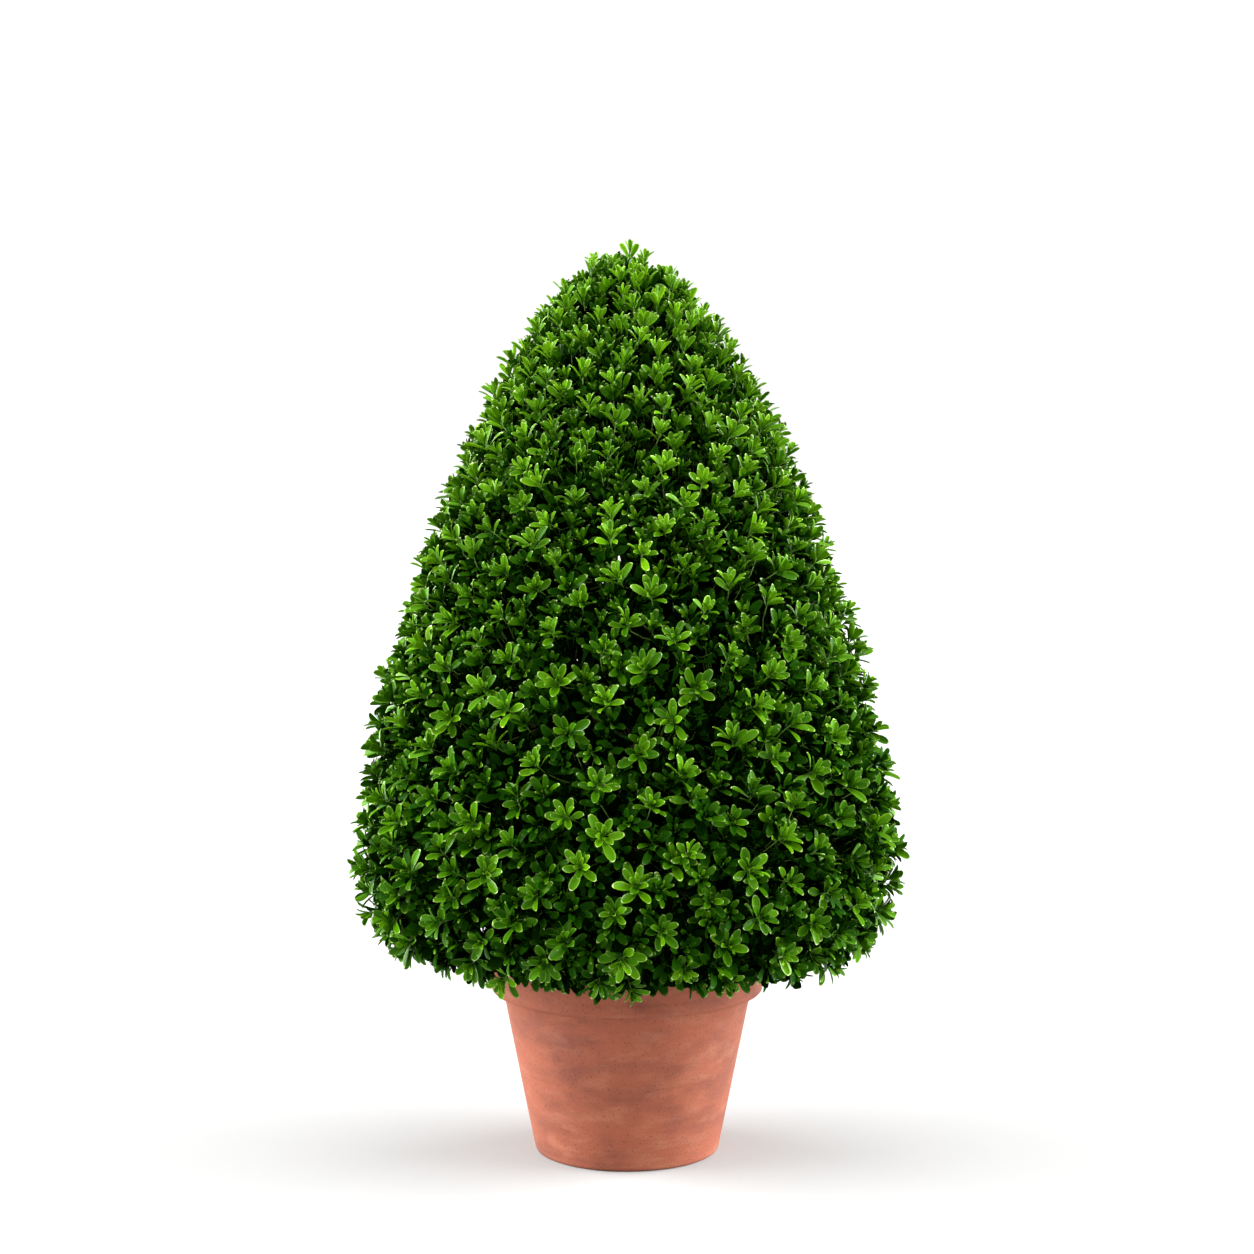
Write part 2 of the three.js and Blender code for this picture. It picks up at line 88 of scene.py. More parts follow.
# How unevenly a leaf stands round its twig, leans from it in degrees, and tilts
TURN_NOISE, LEAN_NOISE, TILT_NOISE = 0.16, 6, 0.3
LEAF_SIZES = (0.88, 1.1)
LIGHTER_SHARE, DARKER_SHARE = 0.16, 0.22  # of the leaves, by one green
TWIG_CLEARANCE = 0.0006  # from a twig's axis to its leaves

# Points along and across a detailed, a simple, a plain and a hidden leaf
LEAF_GRIDS = ((6, 5), (5, 3), (4, 3), (3, 3))
HIDDEN = len(LEAF_GRIDS) - 1
# A leaf's outline from the stalk to the tip: share of the length, share of the half-width
LEAF_OUTLINE = (
    (0, 0.10),
    (0.15, 0.29),
    (0.34, 0.66),
    (0.56, 0.98),
    (0.77, 0.98),
    (0.92, 0.69),
    (1, 0.25),
)
# How closely points crowd at the tip and the rim, and how late the cup and the bend begin
ROW_POWER, RIM_POWER, CUP_POWER, BEND_POWER = 1.9, 0.36, 1.4, 2.5
# Where the rim, a paler margin with a painted highlight, and the tip with its painted highlight begin,
# and where the heel's painted shade ends, on a grid from -0.5 to 0.5
RIM_FROM, TIP_FROM, SHADED_HEEL_TO = 0.3, 0.35, -0.3

# The greens from fresh to shaded: roughness, shine, share of the tip's painted highlight
LEAF_FINISHES = {
    "fresh": (0.22, 0.06, 0.75),
    "light": (0.21, 0.06, 0.55),
    "middle": (0.21, 0.05, 0.35),
    "deep": (0.24, 0.035, 0.15),
    "dark": (0.35, 0.015, 0.0),
    "shaded": (0.60, 0.0, 0.0),
}
DARKEST = len(LEAF_FINISHES) - 1
# A rim is lighter partly as the leaf's paler margin and partly as a painted highlight on its curled edge
RIM_GAINS = (0.3, 0.5, 0.04)  # in red, green and blue
# How much smoother the rim and the tip are than the blade, and how many times its shine
RIM_POLISH, RIM_SHINE = 0.03, 4
TIP_POLISH, TIP_SHINE = 0.04, 9

# The layers of sprays from the outline inwards:
# first azimuth, shallowest and deepest tip below the outline, distance kept from
# the outer sprays, pairs of leaves at the hem and at the top
SPRAY_LAYERS = (
    (0.0, 0.003, 0.020, 0.0, 8, 5),
    (1.3, 0.020, 0.042, 0.027, 7, 5),
    (2.6, 0.042, 0.070, 0.020, 6, 5),
)
CROWDING = 5.5  # the power by which finer sprays stand closer together
SPRAY_SIZES = (0.82, 1.14)  # smallest and largest
FINE_SHARE = 0.6  # how far the sprays' size follows their fineness
TOP_CLOSING, CLOSING_POWER = 0.15, 1.2  # how much less the leaves open at the top
HEM_SPACING, TOP_SPACING, SPACING_POWER = 0.85, 2.0, 2.4  # of the pairs along a spray
# Painted shade, in greens darker: at the hem, lost and won back on the way up, for each layer inwards
HEM_SHADE, SHADE_LOSS, SHADE_RETURN = 1.94, 2.5, 0.75
LAYER_SHADE, HIGH_LAYER_SHADE = 1.05, 0.6
# Where in its step on the spiral a spray may stand, how far in metres from there, and how
# far from its step along the hem's edge
STEP_RANGE, PLACE_NOISE, EDGE_JITTER = (0.2, 0.8), 0.014, 0.3
LEAST_REACH = 0.05  # the smallest radius at which the metres are laid off
CREST_DEPTH, CREST_POWER = 0.012, 16  # how much deeper the sprays at the very top are
FULL_LIFT = 0.12  # the level where sprays turn up in full, while at the hem it is half
SPRAY_STRAY, STRAY_LOSS = 0.24, 0.1  # of the sprays' directions, at the hem and less at the top
HANGING_STRAY = 0.14
# Sprays along the hem's edge and under it: how far inside the hem and above it their tips
# lie, and their angle in degrees, each from the first to the last value
EDGE_RANGES = ((0.032, 0.054), (0.022, 0.042), (-30, 0))
UNDERSIDE_RANGES = ((0.018, 0.123), (0.028, 0.073), (-52, -74))
EDGE_PAIRS, UNDERSIDE_PAIRS = 8, 7
HEM_LEVEL = 0.01  # at which the sprays round the hem count
# Loose leaves in the shade and deep inside, in dark greens as painted shade: shallowest and deepest
# place, size, green
LOOSE_LEAVES = ((0.050, 0.105, 1.1, 4), (0.100, 0.230, 1.95, 5))
LOOSE_SIZES, LOOSE_REACH = (0.8, 1.1), 0.95  # sizes, and share of the radius they may fill
OUTWARD, LOOSE_STRAY, LOOSE_TILT = 0.55, 0.55, 0.6  # how loose leaves point, stray and tilt
LIT_DEPTH = 0.070  # loose leaves below it have the darkest green

# Points round and rings along the stem and leader, and the boughs
STEM_SIDES, STEM_RINGS, LEADER_RINGS = 44, 40, 130
BOUGH_SIDES, BOUGH_STEPS = 18, 34
FLARE_LOBES, LOBE_SHARE = 5, 0.3
# The bark's ridges round a limb, along it and askew
RIDGES_ROUND, RIDGES_ALONG, RIDGES_ASKEW = 9, 22, 14
SWELL, SWELL_SCALE, RIDGE_HEIGHT = 0.06, 0.35, 2.2
FULL_RELIEF = 0.012  # limbs of a smaller radius have shallower ridges
SWELL_SHIFT, RIDGE_SHIFT = 3.1, 1.7  # from one limb's pattern to the next one's
GRAIN_SHIFT, GRAIN_RADIUS = 2.0, 0.02  # of the bark's fine pattern: from limb to limb, its radius
BRANCH_SIDES, BRANCH_STEPS, BRANCH_RADII = 6, 9, (0.0052, 0.0028)
TWIG_SIDES, TWIG_STEPS, TWIG_RADII = 3, 5, (0.0022, 0.0009)
FORK_COUNT, FORK_DEPTH = 128, 0.118  # where branches divide into twigs
FORK_MARGINS = (0.02, 0.01)  # how far they keep above the hem and below the tip
STEM_SUNK = 0.004  # into the soil
# Branches and twigs: how deep they are sunk into what carries them, how far they keep
# straight as they leave and arrive, against their length, and how far at least as they arrive
BRANCH_CURVE = (0.012, 0.4, 0.35, 0)
TWIG_CURVE = (0.004, 0.25, 0.45, 0.055)
UPRIGHT = 0.9  # the share of its length by which a tube has to rise to count as upright

POT_SEGMENTS, SOIL_SEGMENTS, DRILL_SEGMENTS = 120, 110, 28
POT_WOBBLE = 0.004
RIM_ROUND, FOOT_ROUND = 0.007, 0.006
FLOOR_RADII = (0.07, 0.12)  # of further points on both sides of the pot's floor
NECK_END, NECK_CORNER = 0.004, (0.003, 0.001)  # below the rim: the wall's end, a point out and down
# The groove round the rim: depth, height above the rim's lower edge
RIM_GROOVE = ((0.0012, 0.020), (0.0022, 0.023), (0.0012, 0.026))
BAND_TOP = 0.018  # below the pot's mouth: a point on the rim above the groove
INNER_FOOT = (0.012, 0.010)  # the inside wall's end, out from the floor's corner and up
MOUTH_SPREAD = 0.006  # how much wider the pot is inside at its mouth
DRAIN_COUNT, DRAIN_CIRCLE, DRAIN_RADIUS = 3, 0.078, 0.009
SOIL_CLEARANCE, SOIL_DIP = 0.002, 0.006  # the soil's, from the wall, and down towards it
SOIL_EDGE, ROUGH_DEPTH = 0.005, 0.008  # below its top: where its edge is taken and it is rough
SOIL_RINGS = (0.02, 0.97, 40)  # on its top: the first and last share of the way in, how many
ROUGHNESS, SETTLING = 0.0022, 0.001  # of the soil's top
CLODS, CRUMBS, CRUMB_SHARE = 55, 140, 0.5  # how fine its roughness is, and share of the finer
CHIP_SEED, CHIP_COUNT, CHIP_TILT, CHIP_ROUGHNESS = 77, 1300, 0.35, 0.32
CHIP_AREA, CHIP_HEIGHTS = (0.03, 0.94), (-0.001, 0.004)  # share of the soil, height above it
CHIP_SIZES = ((0.005, 0.014), (0.003, 0.008), (0.0012, 0.003))

# The sky's brightness from the horizon and all below it, 0, to straight above, 1
SKY_BANDS = ((0.0, 0.453), (0.26, 0.453), (0.36, 0.10), (0.6, 0.10), (0.85, 0.86))
# The lights on each side: name, azimuth off the camera's side and elevation in degrees
LIGHTS = (("side", 98, 16), ("front", 60, 32))
LIGHT_DISTANCE, FLOOR_REACH = 4, 80


def srgb(red, green, blue):
    """A display colour, given in steps of 0 to 255, as the linear colour that shaders take."""
    shares = (red / 255, green / 255, blue / 255)
    return tuple(c / 12.92 if c <= 0.04045 else ((c + 0.055) / 1.055) ** 2.4 for c in shares)


def length_property(name, description, default):
    kind = {"precision": 4, "subtype": "DISTANCE", "unit": "LENGTH"}
    return bpy.props.FloatProperty(name=name, description=description, default=default, **kind)


def angle_property(name, description, degrees):
    return bpy.props.FloatProperty(
        name=name, description=description, default=math.radians(degrees), subtype="ANGLE"
    )


def share_property(name, description, default):
    return bpy.props.FloatProperty(name=name, description=description, default=default, min=0.0)


def count_property(name, description, default):
    return bpy.props.IntProperty(name=name, description=description, default=default, min=1)


def colour_property(name, description, default):
    return bpy.props.FloatVectorProperty(
        name=name, description=description, default=default, size=3, min=0.0, max=1.0, subtype="COLOR"
    )


class BoxwoodCrown(bpy.types.PropertyGroup):
    """The outline of the crown and the number of its sprays."""

    height: length_property("Height", "From the hem to the tip", 1.219)
    radius: length_property("Widest Radius", "Radius at the widest level", 0.467)
    widest_level: length_property("Widest Level", "Height of the widest level above the hem", 0.19)
    hem_radius: length_property("Hem Radius", "Radius of the lowest edge", 0.395)
    hem_height: length_property("Hem Height", "Height of the hem above the ground", 0.35)
    fullness: share_property("Flank Fullness", "How long the flank stays wide as it rises", 1.35)
    roundness: share_property("Top Roundness", "How bluntly the flank closes at the top", 0.62)
    lift: angle_property("Upward Lift", "How much more upright the sprays grow at the top", 28)
    spray_lift: angle_property(
        "Spray Lift", "How much the sprays turn up from their direction of growth", 20
    )
    top_fineness: share_property("Top Fineness", "How much smaller the sprays are at the top", 0.22)
    outer_sprays: count_property("Outer Sprays", "Sprays that reach the outline", 600)
    second_sprays: count_property("Second Sprays", "Places tried for sprays between the outer ones", 1550)
    deep_sprays: count_property("Deep Sprays", "Places tried for sprays behind those", 1150)
    fringe_sprays: count_property("Fringe Sprays", "Sprays along the edge of the hem", 110)
    hem_sprays: count_property("Hem Sprays", "Sprays that close the crown from below", 130)
    inner_leaves: count_property("Inner Leaves", "Loose leaves in the shade behind the sprays", 12000)
    heart_leaves: count_property("Heart Leaves", "Large loose leaves deep inside", 6000)
    seed: count_property("Seed", "Start of the random numbers", 417)


class BoxwoodLeaf(bpy.types.PropertyGroup):
    """The shape and colours of a leaf."""

    length: length_property("Length", "Length of a full-grown leaf", 0.0355)
    width: length_property("Width", "Width of a full-grown leaf", 0.0134)
    cup: share_property("Cup", "How far the sides rise, against half the width", 0.44)
    bend: share_property("Bend", "How far the tip turns back, against the length", 0.1)
    top_narrowness: share_property("Top Narrowness", "How much narrower the leaves are at the top", 0.15)
    # The darker greens serve as painted shade: lower sprays, inner layers and loose leaves inside are
    # dealt them
    fresh: colour_property("Fresh Green", "The youngest leaves", srgb(98, 148, 10))
    light: colour_property("Light Green", "Leaves at the sprays' tips", srgb(81, 131, 8))
    middle: colour_property("Middle Green", "Full-grown leaves", srgb(65, 113, 5))
    deep: colour_property("Deep Green", "Older leaves", srgb(45, 89, 4))
    dark: colour_property("Dark Green", "Leaves in the shade", srgb(22, 60, 2))
    shaded: colour_property("Shaded Green", "The oldest leaves inside", srgb(5, 23, 1))
    # The rim's lightness is partly the paler margin and partly a painted highlight
    rim_lightness: share_property("Rim Lightness", "How much lighter the rim is than the blade", 1.25)
    # The pale tip is a painted highlight on the tips of the fresh, light, middle and deep greens
    tip_highlight: colour_property("Pale Tip", "Tips of the youngest leaves", srgb(212, 232, 146))


class BoxwoodWood(bpy.types.PropertyGroup):
    """The stem, the boughs and the twigs."""

    stem_base: length_property("Stem Base Radius", "Radius of the stem above its root flare", 0.030)
    stem_top: length_property("Fork Radius", "Radius where the stem becomes the leader", 0.022)
    stem_level: length_property("Fork Level", "Level where the stem becomes the leader", 0.150)
    flare: length_property("Root Flare", "How far the root flare spreads", 0.017)
    flare_height: length_property("Root Flare Height", "How fast the root flare dies away", 0.042)
    leader_tip: length_property("Leader Tip Radius", "Radius of the leader's tip", 0.0075)
    relief: length_property("Bark Relief", "Depth of the bark's ridges", 0.0012)
    bark: colour_property("Bark", "Colour of the bark's ridges", srgb(122, 106, 82))
    # The furrows' darker colour is painted shade in the bark's recesses
    furrow: colour_property("Furrows", "Colour in the bark's furrows", srgb(56, 45, 33))
    twig: colour_property("Twig Bark", "Colour of the older twigs", srgb(72, 68, 38))
    young: colour_property("Young Wood", "Colour of green twigs", srgb(76, 112, 24))


class BoxwoodPot(bpy.types.PropertyGroup):
    """The clay pot and its soil."""

    height: length_property("Height", "Height of the pot", 0.340)
    foot: length_property("Foot Radius", "Radius of the underside", 0.160)
    neck: length_property("Neck Radius", "Radius of the wall under the rim", 0.214)
    wall: length_property("Wall", "Thickness of the wall", 0.017)
    floor: length_property("Floor", "Thickness of the floor", 0.022)
    rim: length_property("Rim Radius", "Outer radius of the rim", 0.235)
    rim_height: length_property("Rim Height", "Height of the rim's band", 0.062)
    soil_height: length_property("Soil Height", "Height of the soil at the stem", 0.300)
    clay: colour_property("Clay", "Colour of the fired clay", srgb(131, 66, 41))
    pale_clay: colour_property("Pale Clay", "Colour of the dry, chalky bloom", srgb(158, 108, 82))
    dark_clay: colour_property("Dark Clay", "Colour of damp or scorched clay", srgb(108, 52, 33))
    soil: colour_property("Soil", "Colour of the moist soil", srgb(52, 38, 28))
    chips: colour_property("Bark Chips", "Colour of the bark chips on the soil", srgb(92, 64, 44))


class BoxwoodStage(bpy.types.PropertyGroup):
    """The camera, the light and the floor."""

    distance: length_property("Camera Distance", "From the camera to the plant's axis", 4.2)
    camera_height: length_property("Camera Height", "Height of the camera", 1.19)
    target_height: length_property("Target Height", "Height on the axis that the camera looks at", 0.908)
    lens: bpy.props.FloatProperty(
        name="Lens", description="Focal length in millimetres on a 36 mm sensor", default=70.2
    )
    floor: colour_property("Floor", "Colour of the pale floor", (0.36, 0.36, 0.358))
    sky: share_property("Soft Light", "Strength of the light from all around", 2.25)
    side: share_property("Side Light", "Strength of each side light in watts per square metre", 10.5)
    front: share_property("Front Light", "Strength of each front light in watts per square metre", 1.9)
    softness: angle_property("Light Softness", "How wide the distant lights look from the plant", 58)


def add_node(tree, kind, inputs=(), **settings):
    """A node with its settings and inputs. An input is a socket to link or a plain value."""
    node = tree.nodes.new(kind)
    for name, value in settings.items():
        setattr(node, name, value)
    for key, value in dict(inputs).items():
        if isinstance(value, bpy.types.NodeSocket):
            tree.links.new(value, node.inputs[key])
        else:
            node.inputs[key].default_value = value
    return node


def math_node(tree, operation, *values):
    """The result of a sum on sockets and numbers."""
    return add_node(tree, "ShaderNodeMath", dict(enumerate(values)), operation=operation).outputs[0]


def mix_node(tree, factor, first, second, blend="MIX"):
    """Two colours mixed or multiplied."""
    inputs = {0: factor, 6: first, 7: second}
    return add_node(tree, "ShaderNodeMix", inputs, data_type="RGBA", blend_type=blend).outputs[2]


def equals(tree, value, number):
    """Whether a value is a whole number."""
    inputs = {"A": value, "B": number, "Epsilon": 0.1}
    return add_node(tree, "FunctionNodeCompare", inputs, operation="EQUAL").outputs[0]


def new_tree(name, numbers):
    """A Geometry Nodes tree with its group input and output nodes and named inputs."""
    tree = bpy.data.node_groups.new(name, "GeometryNodeTree")
    tree.is_modifier = True
    tree.interface.new_socket("Geometry", in_out="OUTPUT", socket_type="NodeSocketGeometry")
    tree.interface.new_socket("Geometry", in_out="INPUT", socket_type="NodeSocketGeometry")
    for label in numbers:
        tree.interface.new_socket(label, in_out="INPUT", socket_type="NodeSocketFloat")
    return tree, tree.nodes.new("NodeGroupInput"), tree.nodes.new("NodeGroupOutput")


def named(tree, name, data_type):
    """The values of a named attribute."""
    return add_node(
        tree, "GeometryNodeInputNamedAttribute", {"Name": name}, data_type=data_type
    ).outputs["Attribute"]


def on_points(tree, points, instance, chosen=True):
    """A shape on the chosen points, turned and sized by their attributes."""
    inputs = {
        "Points": points,
        "Selection": chosen,
        "Instance": instance,
        "Rotation": named(tree, "facing", "QUATERNION"),
        "Scale": named(tree, "size", "FLOAT_VECTOR"),
    }
    return add_node(tree, "GeometryNodeInstanceOnPoints", inputs).outputs[0]


def points_object(name, places, attributes):
    """Loose points that carry attributes, given as name: (type, values)."""
    mesh = bpy.data.meshes.new(name)
    mesh.from_pydata(np.asarray(places).tolist(), [], [])
    for label, (kind, values) in attributes.items():
        field = "vector" if kind == "FLOAT_VECTOR" else "value"
        layer = mesh.attributes.new(label, kind, "POINT")
        layer.data.foreach_set(field, np.asarray(values).ravel())
    piece = bpy.data.objects.new(name, mesh)
    bpy.context.scene.collection.objects.link(piece)
    return piece


def evaluated(source):
    """The plain mesh that an object's modifiers make. The object is then removed."""
    graph = bpy.context.evaluated_depsgraph_get()
    mesh = bpy.data.meshes.new_from_object(source.evaluated_get(graph), depsgraph=graph)
    old = source.data
    bpy.data.objects.remove(source)
    bpy.data.meshes.remove(old)
    return mesh


def grown(source, name, tree, inputs):
    """The piece that a Geometry Nodes tree makes from an object, which is then removed."""
    modifier = source.modifiers.new("Growth", "NODES")
    modifier.node_group = tree
    for item in tree.interface.items_tree:
        if item.in_out == "INPUT" and item.name in inputs:
            modifier[item.identifier] = inputs[item.name]
    mesh = evaluated(source)
    for label in [a.name for a in mesh.attributes if not a.is_internal and not a.is_required]:
        if label not in ("sharp_face", "sharp_edge", "material_index"):
            mesh.attributes.remove(mesh.attributes[label])
    return add_piece(name, mesh)


def add_piece(name, mesh):
    """An object for a finished mesh, at the origin."""
    mesh.name = name
    piece = bpy.data.objects.new(name, mesh)
    bpy.context.scene.collection.objects.link(piece)
    return piece


def hand_over(piece, slot, *nodes):
    """Ties a finished piece to the packed model."""
    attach(piece, "root")
    if nodes:
        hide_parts(*nodes)


def unit(vectors):
    """Vectors made one long."""
    return vectors / np.maximum(np.linalg.norm(vectors, axis=-1, keepdims=True), 1e-12)


def polar(azimuth, reach, height):
    """Points at azimuths, distances from the axis and heights."""
    return np.stack([reach * np.cos(azimuth), reach * np.sin(azimuth), height], axis=-1)


def facings(along, upward):
    """Quaternions that turn +X to one direction and +Z as near as can be to another."""
    x = unit(along)
    z = unit(upward - np.sum(upward * x, axis=1, keepdims=True) * x)
    y = np.cross(z, x)
    turns = np.stack([x, y, z], axis=2)
    return [tuple(Matrix(turn.tolist()).to_quaternion()) for turn in turns]


class CrownShape:
    """The outline of the crown and its directions of growth, by the same rule as the solids."""

    def __init__(self, crown):
        self.height = crown.height
        self.wide = crown.radius
        self.widest = crown.widest_level
        self.hem = crown.hem_radius
        self.base = crown.hem_height
        self.fullness = crown.fullness
        self.roundness = crown.roundness
        self.lift = crown.lift
        self.top_fineness = crown.top_fineness

    def radius(self, level):
        """The radius of the leaf tips at a level."""
        level = np.clip(level, 0, self.height)
        drop = np.clip((self.widest - level) / self.widest, 0, 1)
        rise = np.clip((level - self.widest) / (self.height - self.widest), 0, 1)
        below = self.hem + (self.wide - self.hem) * np.sqrt(1 - drop**2)
        above = self.wide * (1 - rise**self.fullness) ** self.roundness
        return np.where(level < self.widest, below, above)

    def angle(self, level):
        """The angle above the horizontal at which sprays grow at a level."""
        low = np.clip(level - SLOPE_REACH, 0, self.height)
        high = np.clip(level + SLOPE_REACH, 0, self.height)
        square = np.arctan2(self.radius(low) - self.radius(high), high - low)
        lifted = square + self.lift * (level / self.height) ** 2
        steep = np.where(level > self.height - PEAK, math.pi / 2, lifted)
        return np.clip(steep, LOWEST_GROWTH, math.pi / 2)

    def direction(self, level, azimuth, lift=0.0):
        """The directions of growth at levels and azimuths, or turned up from them."""
        angle = self.angle(level) + lift
        return polar(azimuth, np.cos(angle), np.sin(angle))

    def under(self, level, azimuth, depth):
        """Points some depth below the leaf tips, back along the directions of growth."""
        level, azimuth, depth = np.broadcast_arrays(level, azimuth, depth)
        tip = polar(azimuth, self.radius(level), self.base + level)
        return tip - depth[..., None] * self.direction(level, azimuth)

    def fineness(self, level):
        """The size of the sprays at a level against those low on the crown."""
        return 1 - self.top_fineness * np.clip((level - FINE_FROM) / (self.height - FINE_FROM), 0, 1)

    def levels(self, shares, crowding=0.0):
        """The levels below which shares of the surface lie, weighted to where sprays are fine."""
        steps = np.linspace(0, 1, AREA_BANDS)
        heights = self.height * (1 - (1 - steps) ** 2)
        wide = self.radius(heights)
        bands = (wide[1:] + wide[:-1]) * np.hypot(np.diff(heights), np.diff(wide))
        bands = bands / self.fineness(heights[1:]) ** crowding
        area = np.concatenate([[0], np.cumsum(bands)])
        return np.interp(np.asarray(shares) * area[-1], area, heights)

    def wood_axis(self, level):
        """The axis of the stem and leader, with a slight lean and sway."""
        level = np.asarray(level, dtype=float)
        x = LEAN * np.clip(level, 0, 1) + SWAY_X[0] * np.sin(level / SWAY_X[1])
        y = SWAY_Y[0] * np.sin(level / SWAY_Y[1])
        return np.stack([x, y, self.base + level], axis=-1)


class Masses:
    """The masses of foliage: their names, the places of their boughs and which sprays they hold."""

    def __init__(self, shape):
        self.shape = shape
        self.names = [f"{tier[0]}_{i + 1}" for tier in TIERS for i in range(tier[3])] + ["top"]

    def holding(self, level, azimuth):
        """The index of the mass that holds each place."""
        found = np.full(np.shape(level), len(self.names) - 1)
        first = 0
        for _, low, high, count, turn, *_ in TIERS:
            sector = np.round((azimuth - turn) * count / (2 * math.pi)).astype(int) % count
            found = np.where((level >= low) & (level < high), first + sector, found)
            first += count
        return found

    def middle(self, tier, index):
        """The level and azimuth in the middle of a mass."""
        _, low, high, count, turn, *_ = TIERS[tier]
        return (low + high) / 2, turn + 2 * math.pi * index / count

    def bough_path(self, tier, index, steps):
        """The points of a bough's curve, from the axis of the wood that carries it to its tip."""
        _, _, _, count, _, foot_level, _, _ = TIERS[tier]
        level, azimuth = self.middle(tier, index)
        foot = Vector(self.shape.wood_axis(foot_level + BOUGH_STAGGER * ((2 * index) % count)))
        end = Vector(self.shape.under(level, azimuth, LIMB_DEPTH))
        grows = Vector(self.shape.direction(level, azimuth))
        run = (end - foot).length
        side = Vector((-math.sin(azimuth), math.cos(azimuth), 0))
        outward = Vector((end.x - foot.x, end.y - foot.y, 0)).normalized()
        sway = (-BOUGH_SWAY if index % 2 else BOUGH_SWAY) * run
        upward = Vector((0, 0, BOUGH_RISE * run))
        leaving = foot + outward * BOUGH_REACH * run + upward + side * sway
        arriving = end - grows * BOUGH_REACH * run
        return bezier([foot], [leaving], [arriving], [end], steps)[0]


def bezier(start, leaving, arriving, end, steps):
    """Points along cubic curves: one row of steps + 1 points for each curve."""
    t = np.linspace(0, 1, steps + 1)[None, :, None]
    a, b, c, d = (np.asarray(p, dtype=float)[:, None, :] for p in (start, leaving, arriving, end))
    return a * (1 - t) ** 3 + 3 * b * t * (1 - t) ** 2 + 3 * c * t**2 * (1 - t) + d * t**3


def tubes(paths, radii, sides):
    """Closed tubes along paths. Radii are per ring, or per ring and side. Gives points and faces."""
    paths = np.asarray(paths, dtype=float)
    number, rings, _ = paths.shape
    radii = np.asarray(radii, dtype=float)
    radii = radii[..., None] if radii.ndim == 2 else radii
    tangent = unit(np.gradient(paths, axis=1))
    chord = unit(paths[:, -1] - paths[:, 0])
    upright = np.abs(chord[:, 2:3]) > UPRIGHT
    aside = unit(np.cross(chord, np.where(upright, (1.0, 0.0, 0.0), (0.0, 0.0, 1.0))))[:, None, :]
    normal = unit(aside - np.sum(aside * tangent, axis=2, keepdims=True) * tangent)
    other = np.cross(tangent, normal)
    around = np.linspace(0, 2 * math.pi, sides, endpoint=False)
    spokes = (
        normal[:, :, None, :] * np.cos(around)[None, None, :, None]
        + other[:, :, None, :] * np.sin(around)[None, None, :, None]
    )
    points = paths[:, :, None, :] + spokes * radii[..., None]
    faces = []
    for n in range(number):
        first = n * rings * sides
        for ring in range(rings - 1):
            a = first + ring * sides
            for j in range(sides):
                k = (j + 1) % sides
                faces.append((a + j, a + k, a + sides + k, a + sides + j))
        faces.append(tuple(first + j for j in reversed(range(sides))))
        faces.append(tuple(first + (rings - 1) * sides + j for j in range(sides)))
    return points.reshape(-1, 3), faces


def taper(paths, start, end):
    """The radii of tubes that grow thinner along their paths."""
    return np.tile(np.linspace(start, end, paths.shape[1]), (len(paths), 1))


def smooth_mesh(name, points, faces, *materials):
    """A mesh with smooth faces and materials."""
    mesh = bpy.data.meshes.new(name)
    mesh.from_pydata(points.tolist(), [], faces)
    mesh.polygons.foreach_set("use_smooth", [True] * len(mesh.polygons))
    for material in materials:
        mesh.materials.append(material)
    return mesh


def finished(work, name):
    """The mesh of a bmesh, which is then freed."""
    mesh = bpy.data.meshes.new(name)
    work.to_mesh(mesh)
    work.free()
    return mesh


def lathe(profile, segments, wobble=0.0):
    """A mesh turned from a profile that starts and ends on the axis."""
    work = bmesh.new()
    rings = []
    for radius, height in profile:
        if radius == 0:
            rings.append([work.verts.new((0, 0, height))])
            continue
        ring = []
        for i in range(segments):
            turn = 2 * math.pi * i / segments
            uneven = wobble * noise.noise((2 * math.cos(turn), 2 * math.sin(turn), 3 * height))
            reach = radius * (1 + uneven)
            ring.append(work.verts.new((reach * math.cos(turn), reach * math.sin(turn), height)))
        rings.append(ring)
    for lower, upper in zip(rings, rings[1:]):
        for i in range(segments):
            k = (i + 1) % segments
            corners = [lower[i % len(lower)], lower[k % len(lower)]]
            corners += [upper[k % len(upper)], upper[i % len(upper)]]
            work.faces.new(list(dict.fromkeys(corners)))
    bmesh.ops.recalc_face_normals(work, faces=work.faces)
    mesh = finished(work, "turned")
    mesh.polygons.foreach_set("use_smooth", [True] * len(mesh.polygons))
    return mesh


def arc(centre, radius, start, end, steps):
    """Points on part of a circle in a profile, with angles in degrees."""
    angles = [math.radians(start + (end - start) * i / steps) for i in range(steps + 1)]
    return [(centre[0] + radius * math.cos(a), centre[1] + radius * math.sin(a)) for a in angles]


def line(start, end, count):
    """Evenly spaced points on a straight part of a profile."""
    return np.linspace(start, end, count).tolist()


def new_material(name, colour, roughness, shine=0.5):
    """A material with plain values on its shader. Gives the material, its tree and its shader."""
    material = bpy.data.materials.new(name)
    material.use_nodes = True
    material.diffuse_color = (*colour, 1)
    shader = material.node_tree.nodes["Principled BSDF"]
    shader.inputs["Base Color"].default_value = (*colour, 1)
    shader.inputs["Roughness"].default_value = roughness
    shader.inputs["Specular IOR Level"].default_value = shine
    return material, material.node_tree, shader


def times(colour, gain):
    """A colour made darker or brighter."""
    return [min(1, gain * c) for c in colour]


def object_noise(tree, scale, detail, stretch=(1, 1, 1)):
    """Noise on the piece's own coordinates."""
    place = add_node(tree, "ShaderNodeTexCoord").outputs["Object"]
    mapped = add_node(tree, "ShaderNodeMapping", {"Vector": place, "Scale": stretch}).outputs[0]
    inputs = {"Vector": mapped, "Scale": scale, "Detail": detail}
    return add_node(tree, "ShaderNodeTexNoise", inputs).outputs["Fac"]


